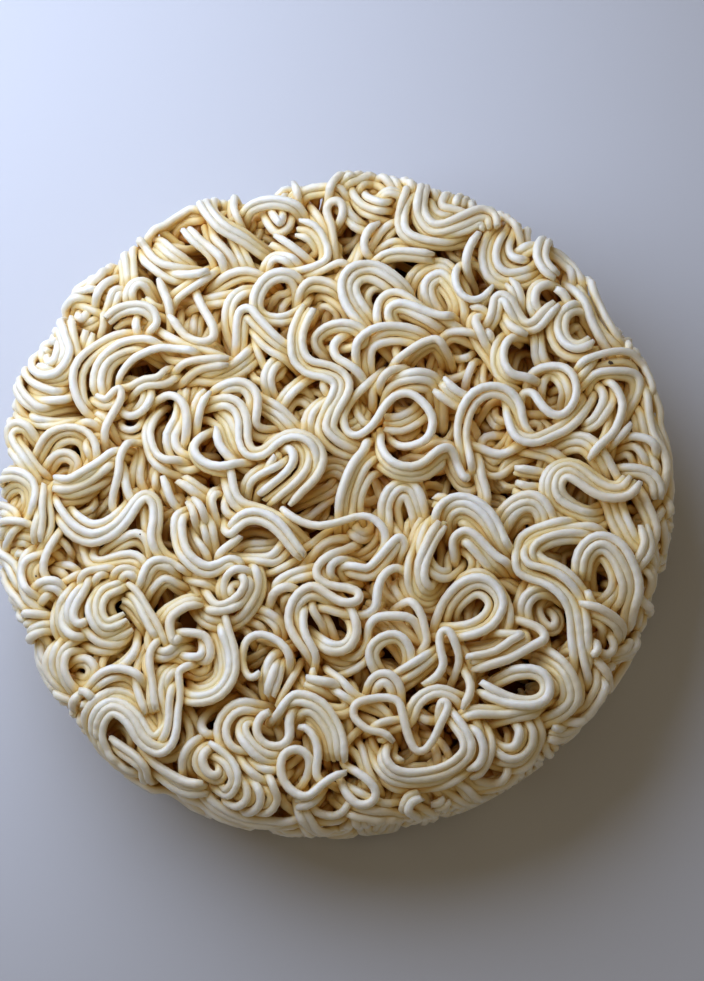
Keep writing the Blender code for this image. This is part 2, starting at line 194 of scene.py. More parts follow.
# Bundles that the photograph shows, each as (strands, roll, path, broken ends): a flat ribbon has no roll,
# one on edge has 90 degrees, and the path gives image x, image y and the height over the surface in tenths
# of a millimetre
tracedBundles = dict(
    ringAndWave=(1, 0, [(373, 378, -10), (352, 397, 0), (342, 414, 4), (345, 430, 3), (357, 436, 3),
        (371, 427, 6), (382, 408, 8), (394, 395, 9), (409, 392, 9), (423, 402, 9), (432, 418, 8),
        (429, 435, 7), (417, 443, 5), (403, 445, 0), (391, 439, -10), (385, 430, -20)]),
    ringHood=(3, 25, [(382, 402, -15), (388, 388, 2), (402, 381, 8), (420, 379, 10), (433, 385, 4),
        (437, 400, -6), (437, 415, -20)]),
    ringBrow=(1, 0, [(380, 398, -15), (379, 386, 0), (388, 376, 8), (402, 371, 10), (411, 371, 10)], "end"),
    ringBars=(3, 20, [(384, 424, -7), (400, 424, -6), (416, 417, -8), (427, 406, -16)], "start"),
    whiteCrescent=(3, 55, [(376, 440, -20), (378, 455, 0), (390, 468, 8), (408, 473, 10), (425, 469, 9),
        (438, 458, 7), (446, 454, 3), (452, 463, -6), (459, 477, -8), (468, 485, -8), (474, 477, -15)]),
    doubleArch=(2, 10, [(470, 482, -15), (466, 458, 0), (462, 432, 5), (466, 412, 8), (476, 398, 10),
        (491, 391, 10), (506, 395, 8), (516, 408, 5), (521, 426, 3), (530, 440, 0), (541, 442, -10)]),
    archWithin=(2, 15, [(482, 424, -30), (489, 411, -22), (500, 408, -20), (508, 420, -20), (504, 436, -22),
        (494, 446, -26), (482, 452, -30)]),
    slantTriple=(3, 30, [(439, 384, 6), (450, 394, 6), (464, 402, 3), (476, 403, -10)], "start"),
    longSlant=(2, 20, [(489, 324, -10), (479, 315, 2), (472, 323, 4), (478, 338, 3), (489, 355, 1),
        (501, 371, 0), (514, 386, -6), (525, 396, -15)]),
    whiteHook=(3, 30, [(520, 336, -5), (507, 338, 4), (499, 350, 8), (500, 366, 9), (509, 379, 8),
        (521, 384, 0)]),
    twistedTuft=(3, 60, [(398, 372, -10), (407, 360, 5), (420, 348, 10), (434, 343, 10), (441, 352, 0)]),
    besideTuft=(1, 0, [(398, 340, -10), (394, 352, 0), (401, 366, 3), (409, 374, -10)]),
    leftHairpin=(4, 25, [(349, 524, -15), (350, 500, 0), (355, 482, 5), (363, 467, 6), (374, 458, -5)]),
    doubleBow=(3, 15, [(391, 532, -15), (389, 506, -6), (397, 491, 0), (408, 488, 0), (416, 501, -3),
        (420, 522, -12)]),
    smallBend=(2, 20, [(434, 499, 2), (444, 502, 3), (451, 511, 2), (455, 524, -10)], "start"),
    parallelDrop=(2, 10, [(470, 452, -15), (477, 473, -5), (485, 493, -4), (483, 510, -6),
        (476, 522, -15)]),
    crossBar=(1, 0, [(474, 449, -8), (494, 454, -6), (512, 452, -6), (530, 446, -10)]),
    lowBar=(1, 0, [(478, 466, -12), (489, 475, -10), (501, 475, -10), (515, 463, -10), (531, 454, -14)]),
    seatLoop=(1, 0, [(284, 506, 8), (291, 515, 10), (303, 523, 10), (320, 527, 10), (338, 523, 10),
        (355, 518, 10), (371, 519, 9), (383, 530, 8), (384, 546, 4), (375, 562, -10)], "start"),
    seatBowl=(4, 15, [(344, 526, -30), (349, 541, -20), (361, 547, -20), (373, 539, -22), (376, 525, -30)]),
    pointedFold=(2, 35, [(352, 588, -20), (343, 568, 0), (352, 569, 6), (368, 573, 6), (382, 561, 6),
        (394, 546, 8), (401, 540, 8), (401, 554, 0), (397, 571, -15)]),
    besideFold=(2, 20, [(398, 538, -15), (407, 549, -10), (416, 560, -10), (420, 574, -20)]),
    basket=(5, 40, [(434, 522, 6), (423, 540, 6), (415, 561, 6), (415, 582, 5), (425, 597, 0),
        (441, 592, -8), (453, 573, -16), (457, 552, -25)], "start"),
    basketRim=(2, 30, [(439, 517, 8), (428, 533, 10), (422, 548, 10), (427, 562, 10), (437, 573, 8),
        (450, 575, 0), (457, 562, -15)], "start"),
    shellBundle=(6, 35, [(449, 538, -15), (452, 518, 6), (464, 513, 10), (478, 523, 10), (490, 541, 7),
        (499, 556, 0), (506, 567, -15)]),
    shellLobe=(3, 40, [(458, 562, -15), (458, 542, 5), (467, 537, 9), (479, 548, 8), (492, 562, 4),
        (505, 573, -10)]),
    dropStrand=(2, 15, [(463, 543, -5), (473, 553, 2), (476, 566, 2), (470, 579, -5)]),
    swirl=(3, 20, [(446, 628, -15), (450, 608, -2), (461, 593, 4), (476, 585, 7), (490, 590, 8),
        (497, 604, 8), (490, 620, 8), (474, 630, 7), (456, 633, 1), (444, 634, -10)]),
    swirlOuter=(2, 20, [(450, 600, -15), (463, 580, 0), (480, 576, 3), (494, 587, 3), (504, 606, 2),
        (507, 625, -2), (498, 641, -6), (480, 648, -9), (460, 651, -15)]),
    swirlInner=(3, 20, [(471, 598, -24), (468, 613, -20), (475, 627, -26)]),
    archesRight=(3, 15, [(482, 584, -18), (498, 576, -12), (514, 580, -12), (528, 592, -20)]),
    curvedPost=(2, 20, [(531, 578, -15), (523, 600, -5), (514, 618, -4), (503, 634, -6), (485, 641, -16)]),
    uprightHairpin=(1, 0, [(422, 684, 8), (434, 677, 8), (442, 663, 9), (439, 646, 11), (439, 633, 11),
        (447, 629, 11), (455, 640, 10), (459, 655, 6), (455, 670, 2), (450, 685, -10)], "start"),
    hairpinLeg=(1, 0, [(452, 634, -6), (462, 650, 0), (467, 668, 0), (471, 688, -6)]),
    crook=(1, 0, [(401, 607, -6), (411, 602, 4), (419, 612, 6), (424, 630, 5), (429, 645, 2),
        (424, 657, -10)]),
    tableStrand=(1, 0, [(336, 654, -6), (354, 654, 0), (366, 643, 4), (368, 627, 6), (376, 618, 8),
        (394, 616, 9), (411, 619, 7), (419, 632, 1), (423, 650, -10)]),
    underTable=(4, 10, [(376, 620, -12), (392, 633, -9), (404, 646, -10), (415, 658, -18)]),
    twinRing=(2, 50, [(389, 684, -15), (376, 668, 0), (372, 652, 6), (381, 641, 8), (396, 638, 8),
        (407, 648, 6), (410, 664, 0), (402, 679, -12)]),
    leftRunner=(1, 0, [(322, 681, -6), (348, 672, 0), (366, 659, 1), (374, 645, -5), (371, 635, -16)]),
    fallenPair=(2, 15, [(396, 679, 0), (412, 669, 3), (427, 657, 2), (440, 648, -8)]),
    fallenOne=(1, 0, [(398, 691, -8), (415, 680, -4), (431, 668, -8)]),
    longGirdle=(1, 0, [(322, 607, 0), (345, 614, 4), (364, 615, 6), (375, 607, 6), (377, 590, 7),
        (383, 574, 8), (396, 567, 7), (408, 573, 3), (413, 587, -10)]),
    girdleBowl=(2, 20, [(383, 574, -20), (387, 589, -16), (398, 597, -15), (410, 595, -20)]),
    bigSOuter=(3, 15, [(603, 537, -12), (588, 530, 0), (566, 528, 3), (543, 533, 5), (525, 543, 6),
        (518, 556, 6), (525, 570, 7), (543, 577, 9), (561, 586, 10), (573, 601, 9), (579, 622, 6),
        (581, 646, 2), (583, 670, -4), (582, 690, -14)]),
    bigSInner=(2, 15, [(602, 540, -10), (585, 537, 2), (564, 536, 6), (544, 541, 8), (532, 551, 9),
        (541, 563, 10), (558, 571, 10), (573, 583, 8), (584, 600, 0), (588, 616, -14)]),
    brokenArch=(3, 20, [(581, 580, 2), (583, 562, 7), (590, 549, 9), (602, 543, 10), (615, 550, 9),
        (624, 565, 7), (629, 583, 4), (628, 602, -2), (622, 618, -12)], "start"),
    archLining=(2, 20, [(590, 592, -20), (588, 571, -10), (594, 557, -3), (604, 553, 1), (613, 563, 2),
        (617, 578, 1), (613, 593, -4), (601, 605, -14)]),
    crossingBundle=(3, 40, [(578, 609, 8), (590, 612, 8), (602, 617, 7), (613, 627, 3),
        (613, 640, -10)], "start"),
    standingEnd=(1, 0, [(587, 591, 10), (590, 603, 8), (599, 611, 2), (609, 617, -10)], "start"),
    edgeCurl=(1, 0, [(603, 631, -15), (614, 637, 0), (615, 649, 1), (606, 656, -2), (593, 656, -12)]),
    crumbledEnd=(1, 0, [(590, 640, 0), (597, 649, 4), (590, 657, 2)], "start", "end"),
    leftSpiral=(2, 20, [(567, 601, -14), (550, 592, -3), (533, 594, 1), (523, 606, 2), (525, 622, -3),
        (533, 637, -15)]),
    spiralHeart=(2, 15, [(541, 597, -20), (535, 609, -12), (540, 622, -10), (551, 630, -9), (558, 622, -11),
        (553, 611, -16), (543, 607, -24)]),
    zigzagOuter=(1, 0, [(470, 667, 6), (488, 664, 9), (506, 660, 10), (522, 651, 10), (536, 643, 10),
        (544, 637, 9), (538, 629, 7), (523, 623, 4), (508, 621, -2), (494, 624, -15)], "start"),
    zigzagInner=(2, 40, [(469, 662, 8), (485, 658, 10), (499, 653, 10), (512, 644, 10), (525, 637, 9),
        (518, 632, 5), (505, 633, -2), (493, 637, -14)], "start"),
    sUnder=(2, 20, [(554, 518, -10), (554, 534, -13), (549, 549, -15), (538, 559, -20)]),
    deepRing=(2, 20, [(559, 572, -26), (559, 556, -22), (570, 549, -20), (583, 553, -26)]),
    edgeSlants=(3, 20, [(611, 497, -8), (617, 514, -2), (626, 533, 0), (636, 552, -2), (640, 568, -10)]),
    edgePost=(2, 30, [(643, 525, 4), (645, 543, 4), (640, 560, 2), (630, 576, -8)], "start"),
    edgeOutside=(2, 20, [(640, 500, -8), (648, 515, 0), (653, 531, 2), (648, 547, -2), (650, 562, -10)]),
    edgeBow=(2, 10, [(640, 560, -8), (649, 572, 0), (652, 588, 0), (646, 604, -3), (640, 618, -10)]),
    edgeHook=(1, 0, [(626, 588, -8), (636, 590, 3), (643, 602, 2), (650, 613, -6)]),
    bigRing=(1, 0, [(525, 424, -15), (520, 407, 0), (523, 394, 5), (532, 394, 8), (539, 404, 10),
        (549, 414, 10), (561, 416, 10), (572, 408, 10), (578, 394, 10), (575, 379, 9), (564, 369, 8),
        (549, 368, 6), (536, 374, 2), (529, 386, -6), (531, 400, -18)]),
    ringLining=(2, 20, [(537, 402, -20), (534, 388, -10), (540, 377, -6), (552, 374, -5), (564, 381, -6),
        (571, 394, -10), (567, 407, -18)]),
    ringFloor=(2, 15, [(540, 396, -30), (548, 404, -24), (560, 403, -24), (569, 392, -30)]),
    ringSaucer=(2, 15, [(581, 382, -16), (585, 397, -4), (580, 411, 3), (567, 424, 6), (550, 434, 8),
        (532, 440, 8), (518, 435, 6), (511, 420, 3), (508, 402, -3), (503, 386, -13)]),
    thickWave=(4, 35, [(633, 480, 8), (624, 490, 8), (608, 491, 8), (594, 483, 9), (582, 473, 10),
        (568, 468, 10), (556, 474, 9), (551, 488, 8), (557, 503, 5), (572, 514, 2), (589, 519, 0),
        (604, 514, -12)], "start"),
    waveHollow=(3, 20, [(568, 508, -24), (574, 494, -20), (584, 486, -18), (590, 498, -20),
        (584, 512, -26)]),
    shortBars=(2, 60, [(514, 471, 3), (530, 473, 2), (546, 475, -3), (558, 480, -15)], "start"),
    shortBarsLow=(2, 40, [(514, 486, 4), (528, 491, 4), (543, 491, 0), (556, 496, -14)], "start"),
    lowArches=(3, 20, [(497, 531, -10), (509, 511, 0), (523, 502, 4), (537, 504, 4), (546, 517, 0),
        (549, 534, -14)]),
    lowArchLining=(2, 20, [(510, 530, -14), (519, 518, -6), (531, 516, -6), (540, 527, -16)]),
    underRing=(2, 20, [(531, 449, -8), (547, 452, -3), (560, 461, -4), (570, 474, -14)]),
    middleArch=(3, 20, [(549, 464, -16), (556, 449, -6), (570, 442, 0), (585, 444, 2), (597, 455, 2),
        (605, 470, -2), (609, 487, -12)]),
    brokenBow=(1, 0, [(589, 460, 6), (600, 448, 9), (612, 437, 10), (620, 424, 10), (624, 408, 9),
        (620, 394, 7), (611, 384, 3), (600, 384, -10)], "start"),
    bowBeside=(1, 0, [(603, 452, -4), (613, 444, 5), (623, 434, 7), (631, 424, 8)], "end"),
    innerBow=(2, 20, [(581, 426, 1), (592, 424, 4), (602, 413, 5), (608, 399, 5), (606, 386, 0),
        (598, 378, -15)], "start"),
    postPair=(2, 20, [(604, 458, -10), (608, 442, -2), (611, 426, -2), (610, 408, -10)]),
    speckledShell=(3, 35, [(579, 383, -6), (591, 369, 5), (607, 362, 9), (625, 361, 9), (637, 371, 6),
        (640, 388, 0), (638, 408, -8)]),
    shellFold=(3, 60, [(582, 394, -12), (596, 381, -2), (613, 377, 3), (629, 379, 2), (633, 393, -5),
        (627, 410, -15)]),
    shellStub=(1, 0, [(618, 357, 7), (626, 354, 10), (629, 347, 11), (627, 341, 11)], "start", "end"),
    edgeFall=(3, 15, [(640, 376, -6), (647, 400, 2), (655, 427, 4), (661, 454, 3), (664, 480, -2),
        (662, 500, -8)]),
    edgeFallInner=(2, 20, [(634, 402, -12), (638, 420, -2), (645, 440, 0), (650, 462, -2), (653, 484, -8)]),
    edgeArc=(1, 0, [(616, 444, -8), (631, 436, 4), (646, 439, 6), (655, 451, 5), (656, 468, -4)]),
    edgeArcLining=(2, 20, [(617, 452, -12), (629, 449, -4), (639, 459, -4), (643, 474, -12)]),
    edgeBars=(2, 30, [(611, 474, -12), (629, 471, -3), (646, 474, 0), (656, 484, 2), (658, 499, 2)], "end"),
    upperPost=(2, 20, [(537, 322, -10), (536, 340, -4), (539, 356, -4), (547, 370, -12)]),
    leafPair=(2, 30, [(593, 356, 3), (588, 368, 2), (578, 379, -2), (566, 386, -14)], "start"),
    topDome=(4, 55, [(338, 208, -12), (346, 188, 3), (360, 177, 9), (375, 174, 10), (390, 180, 8),
        (401, 192, 0), (405, 207, -12)]),
    domeFront=(3, 25, [(350, 184, -6), (356, 198, 1), (369, 208, 3), (384, 212, 2), (399, 208, -8)]),
    domeLow=(2, 20, [(342, 200, -8), (347, 213, 0), (358, 224, 1), (371, 230, -8)]),
    backLoop=(1, 0, [(388, 196, -10), (396, 185, 4), (408, 181, 7), (419, 186, 4), (424, 196, -10)]),
    topRing=(2, 25, [(379, 230, -12), (376, 212, 2), (383, 199, 8), (395, 195, 9), (405, 199, 6),
        (400, 208, 0), (386, 212, -10)]),
    fatComma=(1, 0, [(379, 223, 6), (368, 230, 9), (363, 243, 9), (367, 256, 4), (376, 264, -10)], "start"),
    commaTail=(2, 20, [(371, 258, -12), (381, 240, -3), (392, 226, 0), (405, 217, -6)]),
    nestOuter=(2, 20, [(421, 186, -4), (407, 201, 5), (401, 220, 6), (406, 236, 5), (424, 242, 5),
        (446, 242, 3), (466, 239, -6)]),
    nestMiddle=(3, 40, [(422, 181, 10), (418, 200, 9), (420, 217, 9), (429, 229, 9), (445, 231, 9),
        (461, 226, 10), (476, 219, 10), (487, 219, 10), (490, 230, 9)], "start", "end"),
    nestInner=(2, 20, [(428, 182, 2), (428, 202, 4), (434, 215, 2), (447, 220, 0), (463, 216, -8)]),
    nestKnob=(3, 0, [(437, 206, -10), (436, 191, 6), (438, 182, 6), (442, 174, -10)]),
    nestRidge=(5, 0, [(455, 217, -10), (456, 206, 4), (458, 197, 5), (461, 189, -10)]),
    leaningEnd=(1, 0, [(478, 234, 11), (470, 245, 10), (465, 258, 9), (465, 271, 3),
        (470, 283, -10)], "start"),
    openRing=(1, 0, [(485, 275, -10), (477, 264, 3), (464, 266, 7), (457, 279, 8), (461, 292, 9),
        (472, 299, 9), (484, 296, 9), (493, 285, 9)], "end"),
    beakOuter=(2, 25, [(390, 342, -15), (381, 319, 1), (384, 302, 8), (397, 297, 10), (413, 306, 10),
        (431, 318, 8), (449, 327, 0)]),
    beakKnot=(3, 50, [(407, 333, -6), (395, 321, 6), (395, 310, 10), (408, 310, 10), (424, 317, 10),
        (441, 325, 5), (453, 329, -10)]),
    beakArch=(3, 20, [(387, 345, -12), (371, 326, 0), (356, 307, 5), (349, 288, 8), (357, 274, 9),
        (372, 271, 9), (388, 279, 7), (401, 291, 0), (408, 305, -13)]),
    beakArchLining=(2, 20, [(397, 298, -18), (382, 287, -6), (369, 290, -3), (364, 303, -6),
        (371, 320, -16)]),
    beakNeck=(2, 20, [(334, 308, -12), (342, 285, -1), (352, 267, 2), (362, 251, -6)]),
    flatTongue=(2, 25, [(371, 269, -9), (383, 258, 3), (400, 254, 7), (417, 255, 7), (433, 258, 5)], "end"),
    tongueBack=(2, 20, [(378, 256, -10), (391, 245, -1), (407, 245, 0), (420, 251, -8)]),
    deepArch=(3, 20, [(411, 307, -18), (415, 283, -9), (428, 270, -4), (443, 269, -3), (455, 282, -3),
        (464, 302, -5), (472, 322, -15)]),
    deepArchLining=(3, 20, [(447, 323, -20), (435, 304, -8), (431, 288, -3), (440, 280, -2), (451, 291, -3),
        (458, 307, -6), (456, 322, -18)]),
    upperCup=(3, 20, [(508, 226, 0), (494, 238, 2), (488, 256, 2), (493, 272, 2), (507, 281, 1),
        (527, 278, -2), (542, 268, -12)]),
    upperCupLining=(2, 20, [(512, 231, 1), (505, 247, -1), (509, 261, -4), (523, 265, -6),
        (541, 257, -14)]),
    backHook=(1, 0, [(491, 212, -12), (496, 200, 6), (501, 211, 9), (510, 225, 8), (519, 241, 3),
        (523, 259, -10)]),
    backArc=(2, 20, [(484, 216, -10), (500, 210, -2), (514, 220, 0), (522, 237, 0), (526, 256, -10)]),
    wideW=(2, 30, [(485, 332, -6), (494, 316, 4), (500, 298, 9), (507, 300, 10), (513, 315, 10),
        (523, 327, 10), (535, 326, 10), (547, 315, 10), (558, 304, 9)], "end"),
    wideWKnob=(2, 30, [(508, 282, 5), (515, 289, 8), (520, 303, 6), (524, 318, -6)], "start"),
    wideWFoot=(2, 30, [(500, 303, 2), (505, 318, 5), (514, 331, 6), (525, 339, 5)], "start", "end"),
    brokenStub=(1, 0, [(556, 288, 8), (565, 294, 7), (570, 308, 2), (570, 322, -10)], "start"),
    tallArch=(2, 20, [(561, 290, -10), (545, 284, 5), (534, 290, 7), (532, 306, 6), (539, 321, -4),
        (543, 333, -16)]),
    edgeCane=(2, 25, [(560, 258, -10), (554, 247, 4), (544, 245, 8), (540, 256, 9), (545, 268, 9),
        (556, 277, 8)], "end"),
    edgeBrow=(2, 20, [(510, 264, -10), (528, 253, -1), (548, 252, 2), (564, 262, 2), (573, 279, 0),
        (577, 298, -10)]),
    edgeSlide=(3, 20, [(567, 276, -8), (579, 289, 2), (590, 306, 4), (600, 325, 4), (611, 343, 0),
        (620, 360, -10)]),
    brokenC=(3, 25, [(588, 322, -12), (584, 309, 0), (571, 306, 5), (560, 314, 7), (557, 330, 8),
        (563, 344, 9), (575, 350, 10), (587, 348, 10), (594, 342, 10)], "end"),
    peg=(1, 0, [(471, 307, 5), (481, 307, 7), (490, 315, 5), (497, 328, -8)], "start"),
    whiteStub=(1, 0, [(488, 330, 7), (492, 336, 8), (495, 345, -2)], "start"),
    lowBridge=(2, 20, [(436, 360, -16), (443, 342, -4), (455, 335, 1), (470, 337, 1), (482, 345, -10)]),
    archBundle=(3, 20, [(370, 388, -16), (365, 367, 0), (364, 350, 6), (372, 339, 8), (387, 334, 9),
        (406, 334, 7), (423, 340, 2), (436, 352, -10)]),
    raisedFold=(3, 40, [(264, 252, -12), (244, 238, 2), (226, 227, 7), (211, 214, 9), (205, 202, 8),
        (211, 193, 5), (221, 190, 3), (229, 199, 0), (231, 216, -10)]),
    backSheet=(3, 60, [(162, 240, -12), (169, 223, -2), (182, 213, 2), (197, 211, 2), (211, 217, -10)]),
    splayedEnd=(2, 20, [(186, 229, 6), (195, 240, 6), (207, 249, 3), (217, 261, 0),
        (222, 278, -12)], "start"),
    splayedInner=(2, 20, [(208, 224, -8), (212, 240, 1), (222, 253, 1), (231, 268, -4), (236, 284, -14)]),
    upperDrop=(2, 20, [(235, 232, -10), (238, 246, -4), (245, 261, -4), (252, 277, -12)]),
    topRunner=(2, 25, [(237, 224, -10), (250, 209, 4), (268, 202, 7), (287, 203, 6), (300, 209, 0),
        (307, 222, -12)]),
    topKnob=(1, 0, [(293, 184, 10), (297, 195, 7), (300, 208, -6)], "start"),
    smallV=(2, 25, [(267, 208, -10), (272, 220, 2), (280, 229, 3), (286, 221, 3), (290, 207, -10)]),
    backBrow=(2, 60, [(298, 207, -12), (305, 195, 2), (320, 191, 4), (336, 193, 2), (346, 206, -10)]),
    lassoRing=(1, 0, [(337, 268, -12), (335, 246, 1), (332, 226, 4), (326, 212, 6), (330, 202, 8),
        (340, 202, 8), (344, 213, 5), (341, 224, 0), (334, 232, -12)]),
    lassoRope=(2, 20, [(309, 211, -10), (318, 224, 0), (326, 242, 1), (334, 263, -8)]),
    tripleHook=(3, 25, [(297, 229, 5), (311, 233, 5), (321, 245, 3), (321, 259, 1), (309, 268, -3),
        (292, 271, -14)], "start"),
    hookFloor=(2, 20, [(272, 240, 3), (287, 249, 3), (301, 259, 0), (313, 268, -10)], "start"),
    hookArch=(2, 20, [(265, 282, -12), (268, 263, 0), (278, 257, 2), (293, 263, 0), (304, 273, -10)]),
    levelPair=(2, 20, [(295, 279, -12), (312, 276, -3), (330, 273, 1), (343, 271, 1), (354, 282, -10)]),
    thickRing=(2, 25, [(300, 306, -16), (302, 290, 0), (293, 277, 7), (278, 275, 10), (264, 284, 10),
        (256, 299, 10), (258, 313, 6), (271, 320, 4), (288, 319, 2), (304, 309, -10)]),
    ringCurl=(2, 20, [(271, 307, -24), (279, 298, -14), (290, 298, -12), (297, 289, -13), (290, 280, -22)]),
    farCane=(2, 20, [(258, 292, -10), (243, 294, 0), (232, 303, 2), (228, 318, 1), (232, 335, -4),
        (239, 352, -14)]),
    peakedPair=(2, 25, [(239, 374, -14), (241, 347, -2), (241, 323, 5), (246, 312, 10), (253, 319, 10),
        (264, 331, 10), (278, 342, 9), (293, 353, 2), (304, 364, -12)]),
    peakedLining=(1, 0, [(249, 326, -6), (256, 340, 0), (268, 350, 2), (282, 356, 0), (293, 366, -10)]),
    trident=(3, 20, [(310, 308, 11), (301, 323, 10), (296, 341, 9), (299, 358, 8), (310, 368, 7),
        (326, 372, 6), (340, 380, 5), (340, 395, 5), (331, 412, 5), (326, 429, 4), (337, 443, 0),
        (356, 451, -8), (372, 455, -18)], "start"),
    sideArch=(2, 20, [(302, 308, -15), (303, 293, -3), (314, 285, 2), (328, 287, 1), (340, 297, -3),
        (349, 311, -15)]),
    sideArchLining=(2, 20, [(311, 310, -22), (318, 301, -10), (330, 303, -8), (341, 313, -10),
        (341, 329, -20)]),
    fusedLens=(3, 60, [(325, 354, -12), (319, 341, 0), (328, 332, 5), (345, 330, 8), (359, 334, 8),
        (363, 342, 3), (351, 347, -2), (337, 348, -12)]),
    lensTail=(1, 0, [(353, 331, 0), (339, 336, 9), (333, 346, 9), (337, 357, 8), (350, 364, 7),
        (361, 374, 3), (367, 390, -10)]),
    hookTop=(1, 0, [(158, 270, -8), (176, 274, 3), (193, 275, 7), (208, 271, 9)], "end"),
    hookTopPair=(2, 20, [(210, 272, -2), (196, 281, 6), (182, 290, 7), (172, 300, 4), (167, 315, -8)]),
    bigJ=(1, 0, [(192, 283, -8), (196, 298, 4), (204, 312, 8), (212, 326, 10), (212, 337, 10),
        (200, 342, 10), (186, 337, 10), (176, 326, 10), (169, 318, 10)], "end"),
    behindJ=(4, 0, [(189, 344, -22), (190, 328, -8), (192, 317, -16)]),
    levelStrands=(2, 20, [(194, 307, -12), (212, 301, -3), (232, 297, -2), (252, 296, -10)]),
    levelUpper=(2, 20, [(217, 289, -10), (230, 280, 0), (248, 277, 0), (265, 285, -10)]),
    deepSlants=(3, 20, [(220, 306, -24), (227, 326, -20), (233, 346, -22), (236, 362, -30)]),
    fusedUpper=(3, 25, [(158, 345, -6), (177, 352, 3), (196, 358, 5), (214, 363, 4), (231, 368, -6)]),
    fusedPoint=(2, 30, [(167, 382, -8), (182, 371, 5), (198, 366, 9), (214, 364, 10),
        (229, 363, 10)], "end"),
    fusedRight=(3, 30, [(190, 373, -8), (210, 377, 0), (230, 373, 1), (245, 363, 1), (256, 351, -10)]),
    leftBend=(1, 0, [(157, 408, -6), (166, 397, 6), (177, 398, 9), (185, 408, 10), (187, 426, 9),
        (186, 445, 1), (180, 458, -12)]),
    leftBowl=(2, 20, [(183, 402, 0), (179, 420, 4), (172, 438, 4), (175, 454, 3), (187, 463, 1),
        (201, 462, -10)]),
    bluntPair=(2, 25, [(208, 392, 10), (200, 403, 9), (195, 418, 5), (194, 435, -8)], "start"),
    behindBlunt=(2, 20, [(205, 372, -16), (198, 388, -8), (193, 406, -9), (190, 424, -18)]),
    sCrest=(2, 20, [(213, 406, -10), (218, 392, 6), (232, 385, 10), (246, 386, 10), (254, 397, 10),
        (253, 413, 8), (252, 427, 3), (263, 433, -2), (281, 431, -12)]),
    sMain=(2, 10, [(213, 405, -2), (225, 402, 9), (237, 407, 10), (243, 421, 10), (243, 440, 10),
        (250, 453, 10), (263, 452, 10), (277, 441, 10), (293, 435, 11), (308, 439, 11), (318, 451, 10),
        (319, 465, 9), (311, 479, 8), (299, 491, 7), (286, 504, 6)], "end"),
    sLining=(3, 20, [(215, 414, -4), (226, 424, 3), (231, 439, 2), (239, 453, 0), (250, 464, -8)]),
    sBluntEnd=(1, 0, [(216, 427, 9), (218, 443, 9), (226, 456, 7), (237, 466, 3), (250, 473, -8)], "start"),
    sNestOuter=(3, 10, [(264, 501, 4), (277, 490, 8), (291, 480, 9), (301, 467, 9), (302, 453, 8),
        (292, 444, 4), (278, 448, -4), (269, 461, -16)], "start"),
    sNestInner=(3, 15, [(248, 502, -8), (252, 485, 4), (264, 474, 7), (277, 467, 7), (287, 457, 4),
        (281, 447, -10)]),
    sNestTip=(1, 0, [(256, 481, -2), (267, 470, 7), (278, 458, 9)], "end"),
    broadC=(2, 55, [(215, 431, -12), (200, 438, 2), (193, 449, 8), (199, 461, 9), (212, 468, 9),
        (229, 470, 6), (246, 469, -6)]),
    waveNeck=(2, 25, [(230, 464, -8), (229, 483, 6), (233, 499, 8), (244, 509, 8), (259, 512, 8),
        (274, 518, 8), (289, 529, 4), (302, 541, -8)]),
    neckBeside=(1, 0, [(228, 484, -10), (224, 500, 4), (228, 513, 6), (242, 518, 4), (256, 519, -4),
        (268, 526, -14)]),
    smallArch=(2, 20, [(228, 496, -12), (217, 492, 2), (210, 502, 4), (211, 519, 2), (217, 537, -10)]),
    bluntSlant=(2, 20, [(191, 500, 8), (197, 508, 7), (203, 522, 4), (208, 539, -8)], "start"),
    stickLow=(1, 0, [(177, 480, 8), (188, 486, 8), (199, 494, 5), (211, 501, -6)], "start"),
    stickHigh=(1, 0, [(185, 474, 6), (194, 482, 5), (204, 490, 0), (214, 496, -10)], "start"),
    besideS=(3, 20, [(255, 399, -14), (270, 409, -6), (284, 421, -7), (297, 435, -14)]),
    bentPair=(2, 20, [(288, 357, -10), (275, 363, 1), (268, 377, 1), (270, 394, -5), (277, 409, -16)]),
    thinDrop=(1, 0, [(254, 333, -8), (258, 351, -2), (266, 367, -5), (275, 381, -16)]),
    crossSlants=(2, 20, [(313, 374, -10), (299, 383, -4), (286, 396, -6), (276, 413, -16)]),
    sunkRing=(2, 15, [(283, 420, -24), (290, 404, -18), (302, 400, -17), (313, 408, -18), (316, 423, -24)]),
    besideTrident=(2, 20, [(335, 397, -8), (321, 404, 0), (311, 416, 0), (309, 433, -8), (313, 447, -18)]),
    littleHook=(1, 0, [(336, 380, -6), (326, 380, 3), (327, 390, 3), (336, 398, -6)]),
    sunkFan=(3, 20, [(295, 502, -28), (312, 496, -22), (328, 488, -23), (336, 476, -30)]),
    sunkArcs=(3, 20, [(320, 474, -22), (334, 467, -18), (348, 473, -20), (355, 486, -28)]),
    bulbC=(2, 20, [(190, 513, 0), (180, 518, 10), (178, 535, 10), (182, 552, 10), (193, 565, 9),
        (208, 571, 8), (222, 567, 8), (233, 563, 9), (240, 570, 5)], "end"),
    postInC=(3, 30, [(189, 529, -8), (194, 542, 0), (200, 553, -2), (204, 563, -12)]),
    postsAbove=(2, 15, [(197, 508, 1), (204, 522, 3), (209, 538, 0), (214, 552, -9)]),
    brokenDiagonal=(1, 0, [(238, 533, 9), (227, 544, 9), (219, 553, 7), (216, 565, -8)], "start"),
    waveBand=(2, 15, [(228, 521, -2), (229, 531, 8), (238, 524, 9), (247, 518, 10), (260, 517, 10),
        (273, 524, 10), (284, 535, 10), (294, 547, 9), (304, 558, 8)], "end"),
    underWaveUpper=(3, 20, [(232, 541, -26), (250, 534, -20), (266, 534, -20), (283, 541, -28)]),
